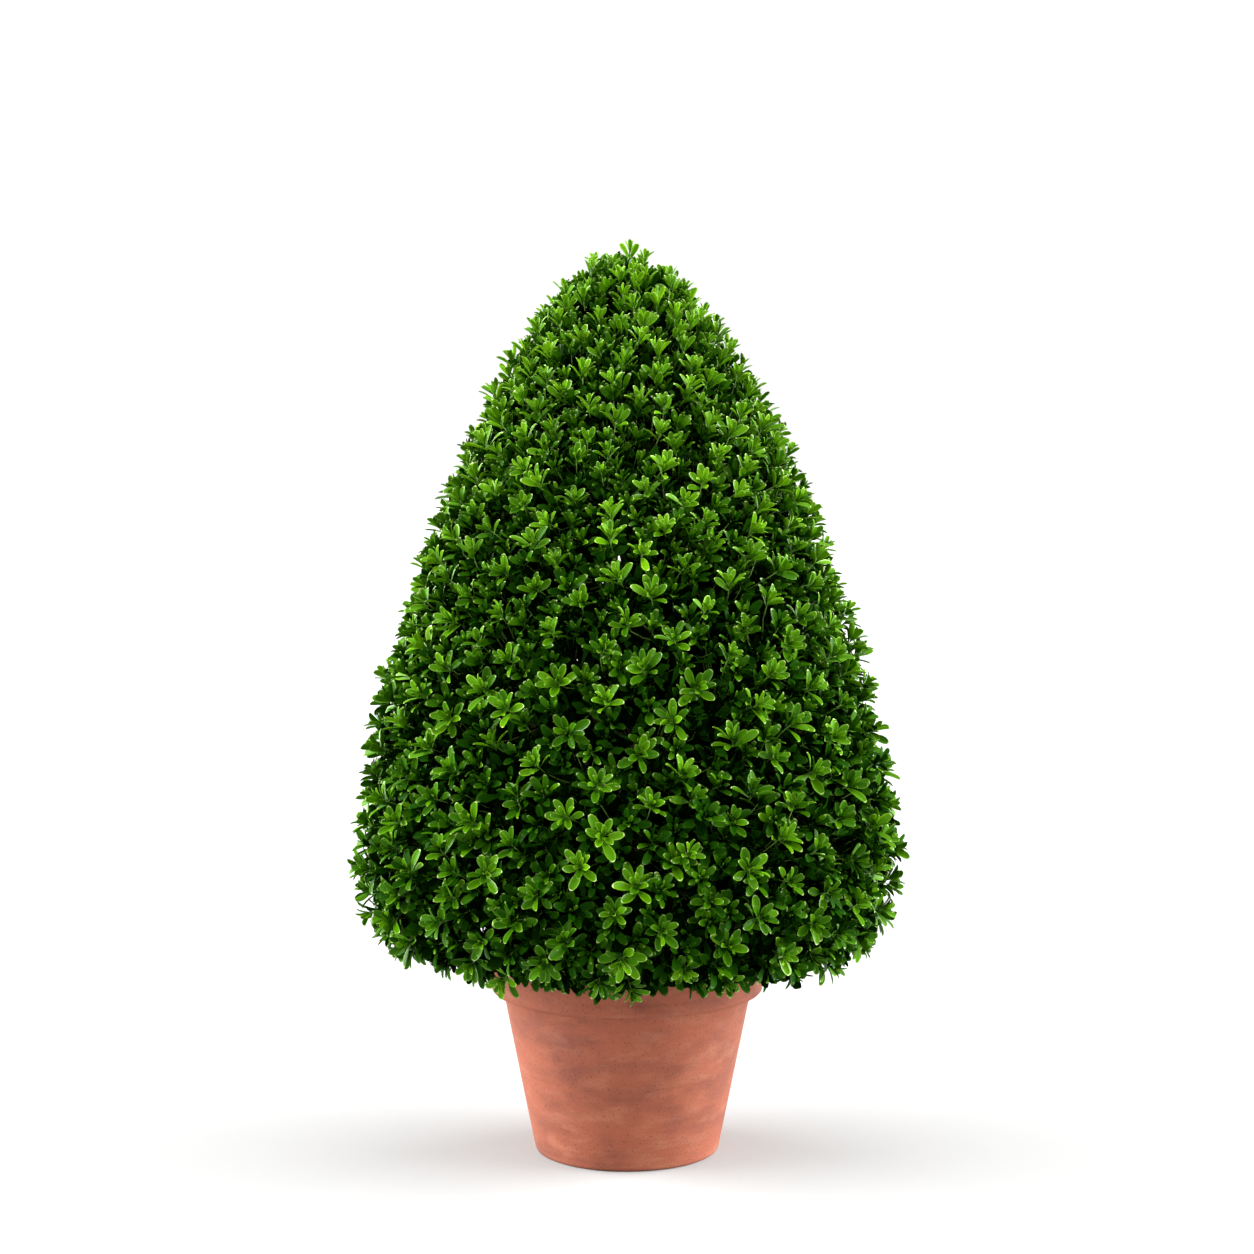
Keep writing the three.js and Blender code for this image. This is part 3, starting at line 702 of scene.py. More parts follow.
def ramp(tree, factor, *stops):
    """A colour ramp. Stops are (position, colour)."""
    node = add_node(tree, "ShaderNodeValToRGB", {"Fac": factor})
    elements = node.color_ramp.elements
    while len(elements) < len(stops):
        elements.new(0.5)
    for element, (position, colour) in zip(elements, stops):
        element.position = position
        element.color = (*colour, 1)
    return node.outputs["Color"]


def bump(tree, shader, height, distance, strength):
    """Gives a shader a bump from a height."""
    inputs = {"Height": height, "Distance": distance, "Strength": strength}
    node = add_node(tree, "ShaderNodeBump", inputs)
    tree.links.new(node.outputs[0], shader.inputs["Normal"])


def mottle(tree, shader, pattern, *stops):
    """Gives a shader the colours of a ramp along a pattern."""
    tree.links.new(ramp(tree, pattern, *stops), shader.inputs["Base Color"])


def leaf_materials(leaf):
    """The blade, rim and tip materials of the greens. The darkest ones have no painted tip highlights."""
    blades, rims, tips = [], [], []
    for name, (roughness, shine, highlight_share) in LEAF_FINISHES.items():
        green = getattr(leaf, name)
        blade, tree, shader = new_material(f"{name}_leaf", green, roughness, shine)
        bump(tree, shader, object_noise(tree, scale=420, detail=2), distance=0.0003, strength=0.2)
        blades.append(blade)
        # The rim's colour: a paler margin with a painted highlight
        pale = [min(1, c + leaf.rim_lightness * gain * green[1]) for c, gain in zip(green, RIM_GAINS)]
        polished = roughness - RIM_POLISH
        rims.append(new_material(f"{name}_leaf_rim", pale, polished, RIM_SHINE * shine)[0])
        # Painted highlight: the tip's colour, mixed from the rim's towards the pale tip colour
        if highlight_share:
            mixed = [c + highlight_share * (p - c) for c, p in zip(pale, leaf.tip_highlight)]
            polished = roughness - TIP_POLISH
            tips.append(new_material(f"{name}_leaf_tip", mixed, polished, TIP_SHINE * shine)[0])
    return blades, rims, tips


def leaf_shape(tree, sizes, place):
    """Where a grid's points go to make a leaf with its outline, cup and bend."""

    def product(first, second):
        return math_node(tree, "MULTIPLY", first, second)

    def power(base, exponent):
        return math_node(tree, "POWER", base, exponent)

    to_tip = math_node(tree, "SUBTRACT", 0.5, place["X"])
    along = math_node(tree, "SUBTRACT", 1.0, power(to_tip, ROW_POWER))
    outline = add_node(tree, "ShaderNodeFloatCurve", {"Value": along})
    curve = outline.mapping.curves[0]
    curve.points[0].location, curve.points[1].location = LEAF_OUTLINE[0], LEAF_OUTLINE[-1]
    for at, wide in LEAF_OUTLINE[1:-1]:
        curve.points.new(at, wide)
    outline.mapping.update()
    across = product(place["Y"], 2.0)
    outer = power(math_node(tree, "ABSOLUTE", across), RIM_POWER)
    side = product(math_node(tree, "SIGN", across), outer)
    half = product(outline.outputs[0], product(sizes["Leaf Width"], 0.5))
    rise = product(power(outer, CUP_POWER), product(half, sizes["Cup"]))
    back = product(product(power(along, BEND_POWER), sizes["Bend"]), sizes["Leaf Length"])
    inputs = {
        "X": product(along, sizes["Leaf Length"]),
        "Y": product(side, half),
        "Z": math_node(tree, "SUBTRACT", rise, back),
    }
    return add_node(tree, "ShaderNodeCombineXYZ", inputs).outputs[0]


def leaf_tree(blades, rims, tips):
    """Puts a leaf on every point, in the form and the green that are dealt to it."""
    tree, start, end = new_tree("Leaves on Sprays", ("Leaf Length", "Leaf Width", "Cup", "Bend"))
    position = add_node(tree, "GeometryNodeInputPosition").outputs[0]
    place = add_node(tree, "ShaderNodeSeparateXYZ", {0: position}).outputs
    shape = leaf_shape(tree, start.outputs, place)
    beside = math_node(tree, "GREATER_THAN", math_node(tree, "ABSOLUTE", place["Y"]), RIM_FROM)
    at_tip = math_node(tree, "GREATER_THAN", place["X"], TIP_FROM)
    # The heel takes one green darker as painted shade; the rim and the tip take lighter colours
    marks = (
        ("rim", "BOOLEAN", math_node(tree, "MAXIMUM", beside, at_tip)),
        ("heel", "FLOAT", math_node(tree, "LESS_THAN", place["X"], SHADED_HEEL_TO)),
        ("tip", "BOOLEAN", at_tip),
    )
    join = add_node(tree, "GeometryNodeJoinGeometry")
    for form, (rows, columns) in enumerate(LEAF_GRIDS):
        inputs = {"Size X": 1.0, "Size Y": 1.0, "Vertices X": rows, "Vertices Y": columns}
        blade = add_node(tree, "GeometryNodeMeshGrid", inputs).outputs["Mesh"]
        for name, kind, value in marks:
            inputs = {"Geometry": blade, "Name": name, "Value": value}
            kinds = {"data_type": kind, "domain": "FACE"}
            blade = add_node(tree, "GeometryNodeStoreNamedAttribute", inputs, **kinds).outputs[0]
        inputs = {"Geometry": blade, "Position": shape}
        blade = add_node(tree, "GeometryNodeSetPosition", inputs).outputs[0]
        blade = add_node(tree, "GeometryNodeSetShadeSmooth", {"Geometry": blade}).outputs[0]
        chosen = equals(tree, named(tree, "form", "INT"), form)
        leaves = on_points(tree, start.outputs["Geometry"], blade, chosen)
        tree.links.new(leaves, join.inputs[0])
    inputs = {"Geometry": join.outputs[0]}
    geometry = add_node(tree, "GeometryNodeRealizeInstances", inputs).outputs[0]
    # Painted shade: the heel near the stalk is one green darker
    darker = math_node(tree, "ADD", named(tree, "tone", "INT"), named(tree, "heel", "FLOAT"))
    tone = math_node(tree, "MINIMUM", darker, DARKEST)
    rim, tip = named(tree, "rim", "BOOLEAN"), named(tree, "tip", "BOOLEAN")
    for i, blade in enumerate(blades):
        dealt = equals(tree, tone, i)
        choices = [(dealt, blade)]
        for part, materials in ((rim, rims), (tip, tips)):
            if i < len(materials):
                both = add_node(tree, "FunctionNodeBooleanMath", {0: dealt, 1: part}, operation="AND")
                choices.append((both.outputs[0], materials[i]))
        for chosen, material in choices:
            inputs = {"Geometry": geometry, "Selection": chosen, "Material": material}
            geometry = add_node(tree, "GeometryNodeSetMaterial", inputs).outputs[0]
    tree.links.new(geometry, end.inputs[0])
    return tree


class Sprays:
    """The places, directions and sizes of all sprays, outer ones first."""

    def __init__(self, crown, shape):
        rng = np.random.default_rng(crown.seed)
        layers = []
        counts = (crown.outer_sprays, crown.second_sprays, crown.deep_sprays)
        for depth, (phase, shallow, deep, clear, low_pairs, top_pairs) in enumerate(SPRAY_LAYERS):
            layer = self.layer(crown, shape, rng, counts[depth], phase, (shallow, deep))
            if layers:
                distance = clear * shape.fineness(layer[0]) ** (CROWDING / 2)
                layer = self.apart(layer, layers[0], distance)
            pairs = low_pairs + (top_pairs - low_pairs) * layer[0] / shape.height
            layers.append((*layer, np.round(pairs).astype(int), np.full(len(pairs), depth)))
        layers.append(self.edge(shape, rng, crown.fringe_sprays))
        layers.append(self.underside(shape, rng, crown.hem_sprays))
        fields = [np.concatenate(values) for values in zip(*layers)]
        self.level, self.azimuth, self.tip, self.axis, self.pairs, self.depth = fields
        count = len(self.level)
        height = np.clip(self.level / shape.height, 0, 1)
        fine = 1 - FINE_SHARE + FINE_SHARE * shape.fineness(self.level)
        # Painted shade: sprays further in and lower down get darker greens, those near the top lighter
        # ones
        shade = (LAYER_SHADE + HIGH_LAYER_SHADE * height) * self.depth
        shade += HEM_SHADE - SHADE_LOSS * height + SHADE_RETURN * height**2
        self.roll = rng.uniform(0, math.pi, count)
        self.size = rng.uniform(*SPRAY_SIZES, count) * fine
        self.openness = 1 - TOP_CLOSING * height**CLOSING_POWER
        self.spacing = HEM_SPACING + (TOP_SPACING - HEM_SPACING) * height**SPACING_POWER
        self.tone = 1 + np.floor(rng.random(count) + shade).astype(int)

    def layer(self, crown, shape, rng, count, phase, depths):
        """Sprays spread evenly in a spiral, some depth below the outline."""
        k = np.arange(count)
        level = shape.levels((k + rng.uniform(*STEP_RANGE, count)) / count, CROWDING)
        reach = np.maximum(shape.radius(level), LEAST_REACH)
        azimuth = k * GOLDEN_ANGLE + phase + rng.normal(0, PLACE_NOISE, count) / reach
        crest = CREST_DEPTH * (level / shape.height) ** CREST_POWER
        tip = shape.under(level, azimuth, rng.uniform(*depths, count) + crest)
        lift = crown.spray_lift * np.minimum(0.5 + 0.5 * level / FULL_LIFT, 1)
        stray = SPRAY_STRAY - STRAY_LOSS * level[:, None] / shape.height
        axis = unit(shape.direction(level, azimuth, lift) + stray * rng.normal(0, 1, (count, 3)))
        return level, azimuth, tip, axis

    def apart(self, layer, other, distance):
        """The sprays of a layer that lie clear of another layer's."""
        gaps = np.linalg.norm(layer[2][:, None, :] - other[2][None, :, :], axis=2)
        clear = gaps.min(axis=1) > distance
        return tuple(values[clear] for values in layer)

    def edge(self, shape, rng, count):
        """Sprays that hang a little along the edge of the hem."""
        step = np.arange(count) + rng.uniform(-EDGE_JITTER, EDGE_JITTER, count)
        azimuth = 2 * math.pi * step / count
        spread = [rng.uniform(first, last, count) for first, last in EDGE_RANGES]
        return self.hanging(shape, rng, azimuth, *spread, EDGE_PAIRS, 1)

    def underside(self, shape, rng, count):
        """Sprays that hang from the underside of the crown, steeper further in."""
        azimuth = np.arange(count) * GOLDEN_ANGLE
        inward = rng.uniform(0.0, 1.0, count)
        spread = [first + (last - first) * inward for first, last in UNDERSIDE_RANGES]
        return self.hanging(shape, rng, azimuth, *spread, UNDERSIDE_PAIRS, 2)

    def hanging(self, shape, rng, azimuth, inside, above, angle, pairs, depth):
        """Sprays from their places inside and above the hem and their angles in degrees."""
        tip = polar(azimuth, shape.hem - inside, shape.base + above)
        axis = polar(azimuth, np.cos(np.radians(angle)), np.sin(np.radians(angle)))
        axis = unit(axis + rng.normal(0, HANGING_STRAY, axis.shape))
        level, pairs, depth = (np.full(len(azimuth), value) for value in (HEM_LEVEL, pairs, depth))
        return level, azimuth, tip, axis, pairs, depth


def spray_leaves(rng, leaf, shape, sprays, masses):
    """The leaves of the sprays, one side of one pair at a time, from the tips down."""
    side = unit(np.cross(sprays.axis, rng.normal(0, 1, (len(sprays.level), 3))))
    other = np.cross(sprays.axis, side)
    holder = masses.holding(sprays.level, sprays.azimuth)
    narrow = 1 - leaf.top_narrowness * np.clip(sprays.level / shape.height, 0, 1)
    for i, (below, angle, scale, steps) in enumerate(LEAF_PAIRS):
        use = sprays.pairs > i
        count = int(use.sum())
        axis = sprays.axis[use]
        for turned in (0, math.pi):
            turn = sprays.roll[use] + turned + PAIR_TURN * i + rng.normal(0, TURN_NOISE, count)
            lean = np.radians(angle * sprays.openness[use] + rng.normal(0, LEAN_NOISE, count))
            outward = side[use] * np.cos(turn)[:, None] + other[use] * np.sin(turn)[:, None]
            along = axis * np.cos(lean)[:, None] + outward * np.sin(lean)[:, None]
            place = sprays.tip[use] - axis * (below * sprays.spacing[use])[:, None]
            place = place + outward * TWIG_CLEARANCE
            upward = axis + TILT_NOISE * rng.normal(0, 1, (count, 3))
            long = scale * sprays.size[use] * rng.uniform(*LEAF_SIZES, count)
            size = np.stack([long, long * narrow[use], long], axis=-1)
            chance = rng.random(count)
            uneven = (chance > 1 - DARKER_SHARE).astype(int) - (chance < LIGHTER_SHARE).astype(int)
            tone = np.clip(sprays.tone[use] + steps + uneven, 0, DARKEST)
            yield place, along, upward, size, tone, sprays.depth[use], holder[use]


def loose_leaves(rng, crown, shape, masses):
    """Loose leaves in the shade behind the sprays, then large ones deep inside, all dark green as painted
    shade.
    """
    for tried, loose in zip((crown.inner_leaves, crown.heart_leaves), LOOSE_LEAVES):
        shallow, deep, scale, green = loose
        level = shape.levels(rng.random(tried))
        azimuth = rng.uniform(0, 2 * math.pi, tried)
        inside = LOOSE_REACH * shape.radius(level)
        fits = inside > shallow
        level, azimuth, inside = level[fits], azimuth[fits], inside[fits]
        count = len(level)
        depth = rng.uniform(shallow, np.minimum(deep, inside))
        grows = shape.direction(level, azimuth)
        along = OUTWARD * grows + rng.normal(0, LOOSE_STRAY, (count, 3))
        upward = grows + rng.normal(0, LOOSE_TILT, (count, 3))
        size = scale * rng.uniform(*LOOSE_SIZES, (count, 1)) * np.ones(3)
        # Painted shade: the deeper loose leaves take the darkest green
        tone = np.where(depth < LIT_DEPTH, green, DARKEST)
        place = shape.under(level, azimuth, depth)
        holder = masses.holding(level, azimuth)
        yield place, along, upward, size, tone, np.full(count, HIDDEN), holder


class BOXWOOD_OT_leaves(bpy.types.Operator):
    """Grow the leaves of every mass of foliage"""

    bl_idname = "boxwood.leaves"
    bl_label = "Grow Leaves"

    def execute(self, context):
        crown = context.scene.boxwood_crown
        leaf = context.scene.boxwood_leaf
        shape = CrownShape(crown)
        masses = Masses(shape)
        tree = leaf_tree(*leaf_materials(leaf))
        inputs = {
            "Leaf Length": leaf.length,
            "Leaf Width": leaf.width,
            "Cup": leaf.cup,
            "Bend": leaf.bend,
        }
        rng = np.random.default_rng(crown.seed + 1)
        groups = [*spray_leaves(rng, leaf, shape, Sprays(crown, shape), masses)]
        groups += loose_leaves(rng, crown, shape, masses)
        fields = [np.concatenate(values) for values in zip(*groups)]
        places, along, upward, size, tone, form, holder = fields
        facing = np.array(facings(along, upward))
        for i, name in enumerate(masses.names):
            mine = holder == i
            attributes = {
                "facing": ("QUATERNION", facing[mine]),
                "size": ("FLOAT_VECTOR", size[mine]),
                "tone": ("INT", tone[mine]),
                "form": ("INT", form[mine]),
            }
            source = points_object(f"points_{name}", places[mine], attributes)
            piece = grown(source, f"leaves_{name}", tree, inputs)
            hand_over(piece, "foliage", f"foliage_{name}")
        return {"FINISHED"}


def bark_material(wood):
    """The bark of the stem, the leader and the boughs, with ridges along each limb."""
    material, tree, shader = new_material("bark", wood.bark, roughness=0.88)
    along = add_node(tree, "ShaderNodeAttribute", attribute_name="grain").outputs["Vector"]
    drawn = add_node(tree, "ShaderNodeMapping", {"Vector": along, "Scale": (1, 1, 0.25)}).outputs[0]
    inputs = {"Vector": drawn, "Scale": 130, "Detail": 7}
    ridges = add_node(tree, "ShaderNodeTexNoise", inputs).outputs["Fac"]
    # Painted highlight on the ridges, a lighter copy of the bark, and painted shade in the furrows
    ridge_highlight = times(wood.bark, 1.3)
    mottle(tree, shader, ridges, (0.38, wood.furrow), (0.52, wood.bark), (0.74, ridge_highlight))
    bump(tree, shader, ridges, distance=0.003, strength=0.8)
    return material


def twig_materials(wood):
    """The bark of the branches and older twigs, and the green of the young twigs."""
    bark, tree, shader = new_material("twig_bark", wood.twig, roughness=0.85)
    bump(tree, shader, object_noise(tree, scale=260, detail=3), distance=0.001, strength=0.5)
    young, tree, shader = new_material("young_twig", wood.young, roughness=0.6)
    bump(tree, shader, object_noise(tree, scale=300, detail=2), distance=0.0005, strength=0.4)
    return bark, young


def ridged(wood, paths, radii, sides):
    """Radii with the bark's ridges added, for each ring and side."""
    around = np.linspace(0, 2 * math.pi, sides, endpoint=False)
    out = np.empty((*radii.shape, sides))
    for n, path in enumerate(paths):
        for ring, point in enumerate(path):
            reach = radii[n, ring]
            relief = wood.relief * min(1, reach / FULL_RELIEF)
            height = RIDGES_ALONG * point[2] + RIDGES_ASKEW * point[0]
            for j, turn in enumerate(around):
                at = Vector((RIDGES_ROUND * math.cos(turn), RIDGES_ROUND * math.sin(turn), height))
                swell = noise.noise(at * SWELL_SCALE + Vector((n * SWELL_SHIFT, 0, 0)))
                ridge = abs(noise.noise(at + Vector((0, n * RIDGE_SHIFT, 0))))
                out[n, ring, j] = reach * (1 + SWELL * swell) - relief * (1 - RIDGE_HEIGHT * ridge)
    return out


class BOXWOOD_OT_limbs(bpy.types.Operator):
    """Make the stem, the leader and the boughs with the bark's relief"""

    bl_idname = "boxwood.limbs"
    bl_label = "Make Stem and Boughs"

    def execute(self, context):
        wood = context.scene.boxwood_wood
        shape = CrownShape(context.scene.boxwood_crown)
        masses = Masses(shape)
        bark = bark_material(wood)
        soil = context.scene.boxwood_pot.soil_height - shape.base
        top = shape.height - LIMB_DEPTH
        stem = np.linspace(soil - STEM_SUNK, wood.stem_level, STEM_RINGS)
        levels = np.concatenate([stem, np.linspace(wood.stem_level, top, LEADER_RINGS)[1:]])
        path = shape.wood_axis(levels)[None]
        ends = (wood.stem_base, wood.stem_top, wood.leader_tip)
        radii = np.interp(levels, (soil, wood.stem_level, top), ends)
        rings = ridged(wood, path, radii[None], STEM_SIDES)
        flare = wood.flare * np.exp(-np.clip(levels - soil, 0, None) / wood.flare_height)
        around = np.linspace(0, 2 * math.pi, STEM_SIDES, endpoint=False)
        lobes = 1 - LOBE_SHARE + LOBE_SHARE * np.cos(FLARE_LOBES * around)
        rings += flare[:, None] * lobes
        self.finish("stem_and_leader", path, rings, bark, ["stem", "leader"])
        for tier, (name, _, _, count, _, _, foot, tip) in enumerate(TIERS):
            paths = np.array([masses.bough_path(tier, i, BOUGH_STEPS) for i in range(count)])
            rings = ridged(wood, paths, taper(paths, foot, tip), BOUGH_SIDES)
            nodes = [f"bough_{name}_{i + 1}" for i in range(count)]
            self.finish(f"boughs_{name}", paths, rings, bark, nodes)
        return {"FINISHED"}

    def grain(self, paths, sides):
        """Each point's place on an even straight limb, which the bark's pattern follows."""
        steps = np.linalg.norm(np.diff(paths, axis=1), axis=2)
        along = np.concatenate([np.zeros((len(paths), 1)), np.cumsum(steps, axis=1)], axis=1)
        along += GRAIN_SHIFT * np.arange(len(paths))[:, None]
        along = np.broadcast_to(along[..., None], (*along.shape, sides))
        around = np.linspace(0, 2 * math.pi, sides, endpoint=False)
        return polar(np.broadcast_to(around, along.shape), GRAIN_RADIUS, along)

    def finish(self, name, paths, rings, bark, nodes):
        """One piece of limbs, with smooth faces and bark."""
        sides = rings.shape[-1]
        mesh = smooth_mesh(name, *tubes(paths, rings, sides), bark)
        grain = mesh.attributes.new("grain", "FLOAT_VECTOR", "POINT")
        grain.data.foreach_set("vector", self.grain(paths, sides).ravel())
        hand_over(add_piece(name, mesh), "bark", *nodes)


class BOXWOOD_OT_twigs(bpy.types.Operator):
    """Grow the branches and twigs from the boughs' tips to every spray"""

    bl_idname = "boxwood.twigs"
    bl_label = "Grow Twigs"

    def execute(self, context):
        crown = context.scene.boxwood_crown
        shape = CrownShape(crown)
        masses = Masses(shape)
        sprays = Sprays(crown, shape)
        forks, fork_axis, fork_mass = self.forks(shape, masses)
        root, axis = (values[fork_mass] for values in self.limb_tips(shape, masses))
        branches = self.curves(root, axis, forks, fork_axis, BRANCH_CURVE, BRANCH_STEPS)
        nearest = self.nearest(forks, fork_mass, sprays, masses)
        root, axis = forks[nearest], fork_axis[nearest]
        twigs = self.curves(root, axis, sprays.tip, sprays.axis, TWIG_CURVE, TWIG_STEPS)
        points, faces = tubes(branches, taper(branches, *BRANCH_RADII), BRANCH_SIDES)
        more, added = tubes(twigs, taper(twigs, *TWIG_RADII), TWIG_SIDES)
        # The outer half of each twig is green, with its two end faces
        per_twig = TWIG_STEPS * TWIG_SIDES + 2
        woody = TWIG_SIDES * (TWIG_STEPS // 2)
        green = [0] * len(faces) + [int(i % per_twig >= woody) for i in range(len(added))]
        faces += [tuple(len(points) + v for v in face) for face in added]
        points = np.concatenate([points, more])
        mesh = smooth_mesh("twigs", points, faces, *twig_materials(context.scene.boxwood_wood))
        mesh.polygons.foreach_set("material_index", green)
        hand_over(add_piece("twigs", mesh), "bark")
        return {"FINISHED"}

    def curves(self, root, axis, end, end_axis, curve, steps):
        """Paths that leave their roots along one direction and arrive at their ends along another."""
        sunk, leaving, arriving, least = curve
        run = np.linalg.norm(end - root, axis=1)[:, None]
        away = root + leaving * run * axis
        toward = end - np.maximum(least, arriving * run) * end_axis
        return bezier(root - sunk * axis, away, toward, end, steps)

    def forks(self, shape, masses):
        """Where the branches of each mass divide, spread evenly in a spiral under the leaves."""
        k = np.arange(FORK_COUNT)
        low, high = FORK_MARGINS[0], shape.height - FORK_MARGINS[1]
        level = np.clip(shape.levels((k + 0.5) / FORK_COUNT), low, high)
        azimuth = k * GOLDEN_ANGLE
        mass = masses.holding(level, azimuth)
        return shape.under(level, azimuth, FORK_DEPTH), shape.direction(level, azimuth), mass

    def limb_tips(self, shape, masses):
        """The tip and direction of the limb that carries each mass."""
        tips, axes = [], []
        for tier, (_, _, _, count, *_) in enumerate(TIERS):
            for i in range(count):
                tips.append(masses.bough_path(tier, i, 1)[-1])
                axes.append(shape.direction(*masses.middle(tier, i)))
        tips.append(shape.wood_axis(shape.height - LIMB_DEPTH))
        axes.append(np.array([0.0, 0.0, 1.0]))
        return np.array(tips), np.array(axes)

    def nearest(self, forks, fork_mass, sprays, masses):
        """The nearest fork to each spray among those of the same mass."""
        holder = masses.holding(sprays.level, sprays.azimuth)
        nearest = np.empty(len(holder), dtype=int)
        for mass in range(len(masses.names)):
            mine = np.flatnonzero(fork_mass == mass)
            wanted = np.flatnonzero(holder == mass)
            gaps = np.linalg.norm(sprays.tip[wanted][:, None, :] - forks[mine][None, :, :], axis=2)
            nearest[wanted] = mine[gaps.argmin(axis=1)]
        return nearest


def clay_material(pot):
    """Fired clay with turning lines, uneven firing and a chalky bloom."""
    material, tree, shader = new_material("fired_clay", pot.clay, roughness=0.82)
    cloud = object_noise(tree, scale=9, detail=9, stretch=(1, 1, 2.2))
    fired = ramp(tree, cloud, (0.30, pot.dark_clay), (0.50, pot.clay), (0.75, times(pot.clay, 1.12)))
    bloom = object_noise(tree, scale=16, detail=12, stretch=(1, 1, 2.6))
    mask = ramp(tree, bloom, (0.50, (0, 0, 0)), (0.78, (0.42, 0.42, 0.42)))
    dusty = mix_node(tree, mask, fired, (*pot.pale_clay, 1))
    specks = object_noise(tree, scale=340, detail=2)
    dots = ramp(tree, specks, (0.30, (0.55, 0.5, 0.48)), (0.42, (1, 1, 1)))
    tree.links.new(mix_node(tree, 1.0, dusty, dots, "MULTIPLY"), shader.inputs["Base Color"])
    lines = object_noise(tree, scale=1, detail=3, stretch=(2, 2, 120))
    grit = object_noise(tree, scale=520, detail=3)
    height = math_node(tree, "ADD", lines, math_node(tree, "MULTIPLY", grit, 0.6))
    bump(tree, shader, height, distance=0.0016, strength=0.7)
    return material


class BOXWOOD_OT_pot(bpy.types.Operator):
    """Turn the clay pot and drill its drain holes"""

    bl_idname = "boxwood.pot"
    bl_label = "Make Pot"

    def execute(self, context):
        pot = context.scene.boxwood_pot
        source = add_piece("turned_pot", lathe(self.profile(pot), POT_SEGMENTS, POT_WOBBLE))
        drills = self.drills(pot)
        cut = source.modifiers.new("Drain Holes", "BOOLEAN")
        cut.operation = "DIFFERENCE"
        cut.solver = "EXACT"
        cut.object = drills
        mesh = evaluated(source)
        bpy.data.objects.remove(drills)
        mesh.materials.clear()
        mesh.materials.append(clay_material(pot))
        mesh.set_sharp_from_angle(angle=math.radians(50))
        hand_over(add_piece("clay_pot", mesh), "clay", "pot")
        return {"FINISHED"}

    def profile(self, pot):
        """Half of the pot's section, out under its floor, up outside and down inside."""
        rim_bottom = pot.height - pot.rim_height
        inner = pot.neck - pot.wall + MOUTH_SPREAD
        corner = pot.foot - pot.wall
        low, high = rim_bottom + RIM_ROUND, pot.height - RIM_ROUND
        profile = [(radius, 0) for radius in (0, *FLOOR_RADII)]
        profile += arc((pot.foot - FOOT_ROUND, FOOT_ROUND), FOOT_ROUND, -90, -8, steps=4)
        profile += line((pot.foot, FOOT_ROUND), (pot.neck, rim_bottom - NECK_END), count=14)
        profile += [(pot.neck + NECK_CORNER[0], rim_bottom - NECK_CORNER[1])]
        profile += [(pot.rim - RIM_ROUND, rim_bottom)]
        profile += arc((pot.rim - RIM_ROUND, low), RIM_ROUND, -70, 0, steps=4)
        profile += [(pot.rim - depth, rim_bottom + height) for depth, height in RIM_GROOVE]
        profile += [(pot.rim, pot.height - BAND_TOP)]
        profile += arc((pot.rim - RIM_ROUND, high), RIM_ROUND, 0, 90, steps=5)
        profile += arc((inner + RIM_ROUND, high), RIM_ROUND, 90, 180, steps=5)
        foot = (corner + INNER_FOOT[0], pot.floor + INNER_FOOT[1])
        profile += line((inner, high), foot, count=12)[1:]
        profile += [(radius, pot.floor) for radius in (corner, *reversed(FLOOR_RADII), 0)]
        return profile

    def drills(self, pot):
        """The cylinders that cut the drain holes."""
        work = bmesh.new()
        for i in range(DRAIN_COUNT):
            turn = 2 * math.pi * (i + 0.5) / DRAIN_COUNT
            place = (DRAIN_CIRCLE * math.cos(turn), DRAIN_CIRCLE * math.sin(turn), 0)
            bmesh.ops.create_cone(
                work,
                cap_ends=True,
                segments=DRILL_SEGMENTS,
                radius1=DRAIN_RADIUS,
                radius2=DRAIN_RADIUS,
                depth=3 * pot.floor,
                matrix=Matrix.Translation(place),
            )
        return add_piece("drills", finished(work, "drills"))


def soil_materials(pot):
    """The moist soil and the bark chips on it."""
    soil, tree, shader = new_material("moist_soil", pot.soil, roughness=0.95, shine=0.1)
    grain = object_noise(tree, scale=190, detail=6)
    wet, dry = times(pot.soil, 0.4), times(pot.soil, 2.6)
    mottle(tree, shader, grain, (0.34, wet), (0.55, pot.soil), (0.78, dry))
    bump(tree, shader, grain, distance=0.006, strength=1)
    chips, tree, shader = new_material("bark_chips", pot.chips, roughness=0.9, shine=0.2)
    fibres = object_noise(tree, scale=150, detail=4)
    wet, dry = times(pot.chips, 0.4), times(pot.chips, 1.7)
    mottle(tree, shader, fibres, (0.3, wet), (0.5, pot.chips), (0.72, dry))
    bump(tree, shader, fibres, distance=0.002, strength=0.8)
    return soil, chips


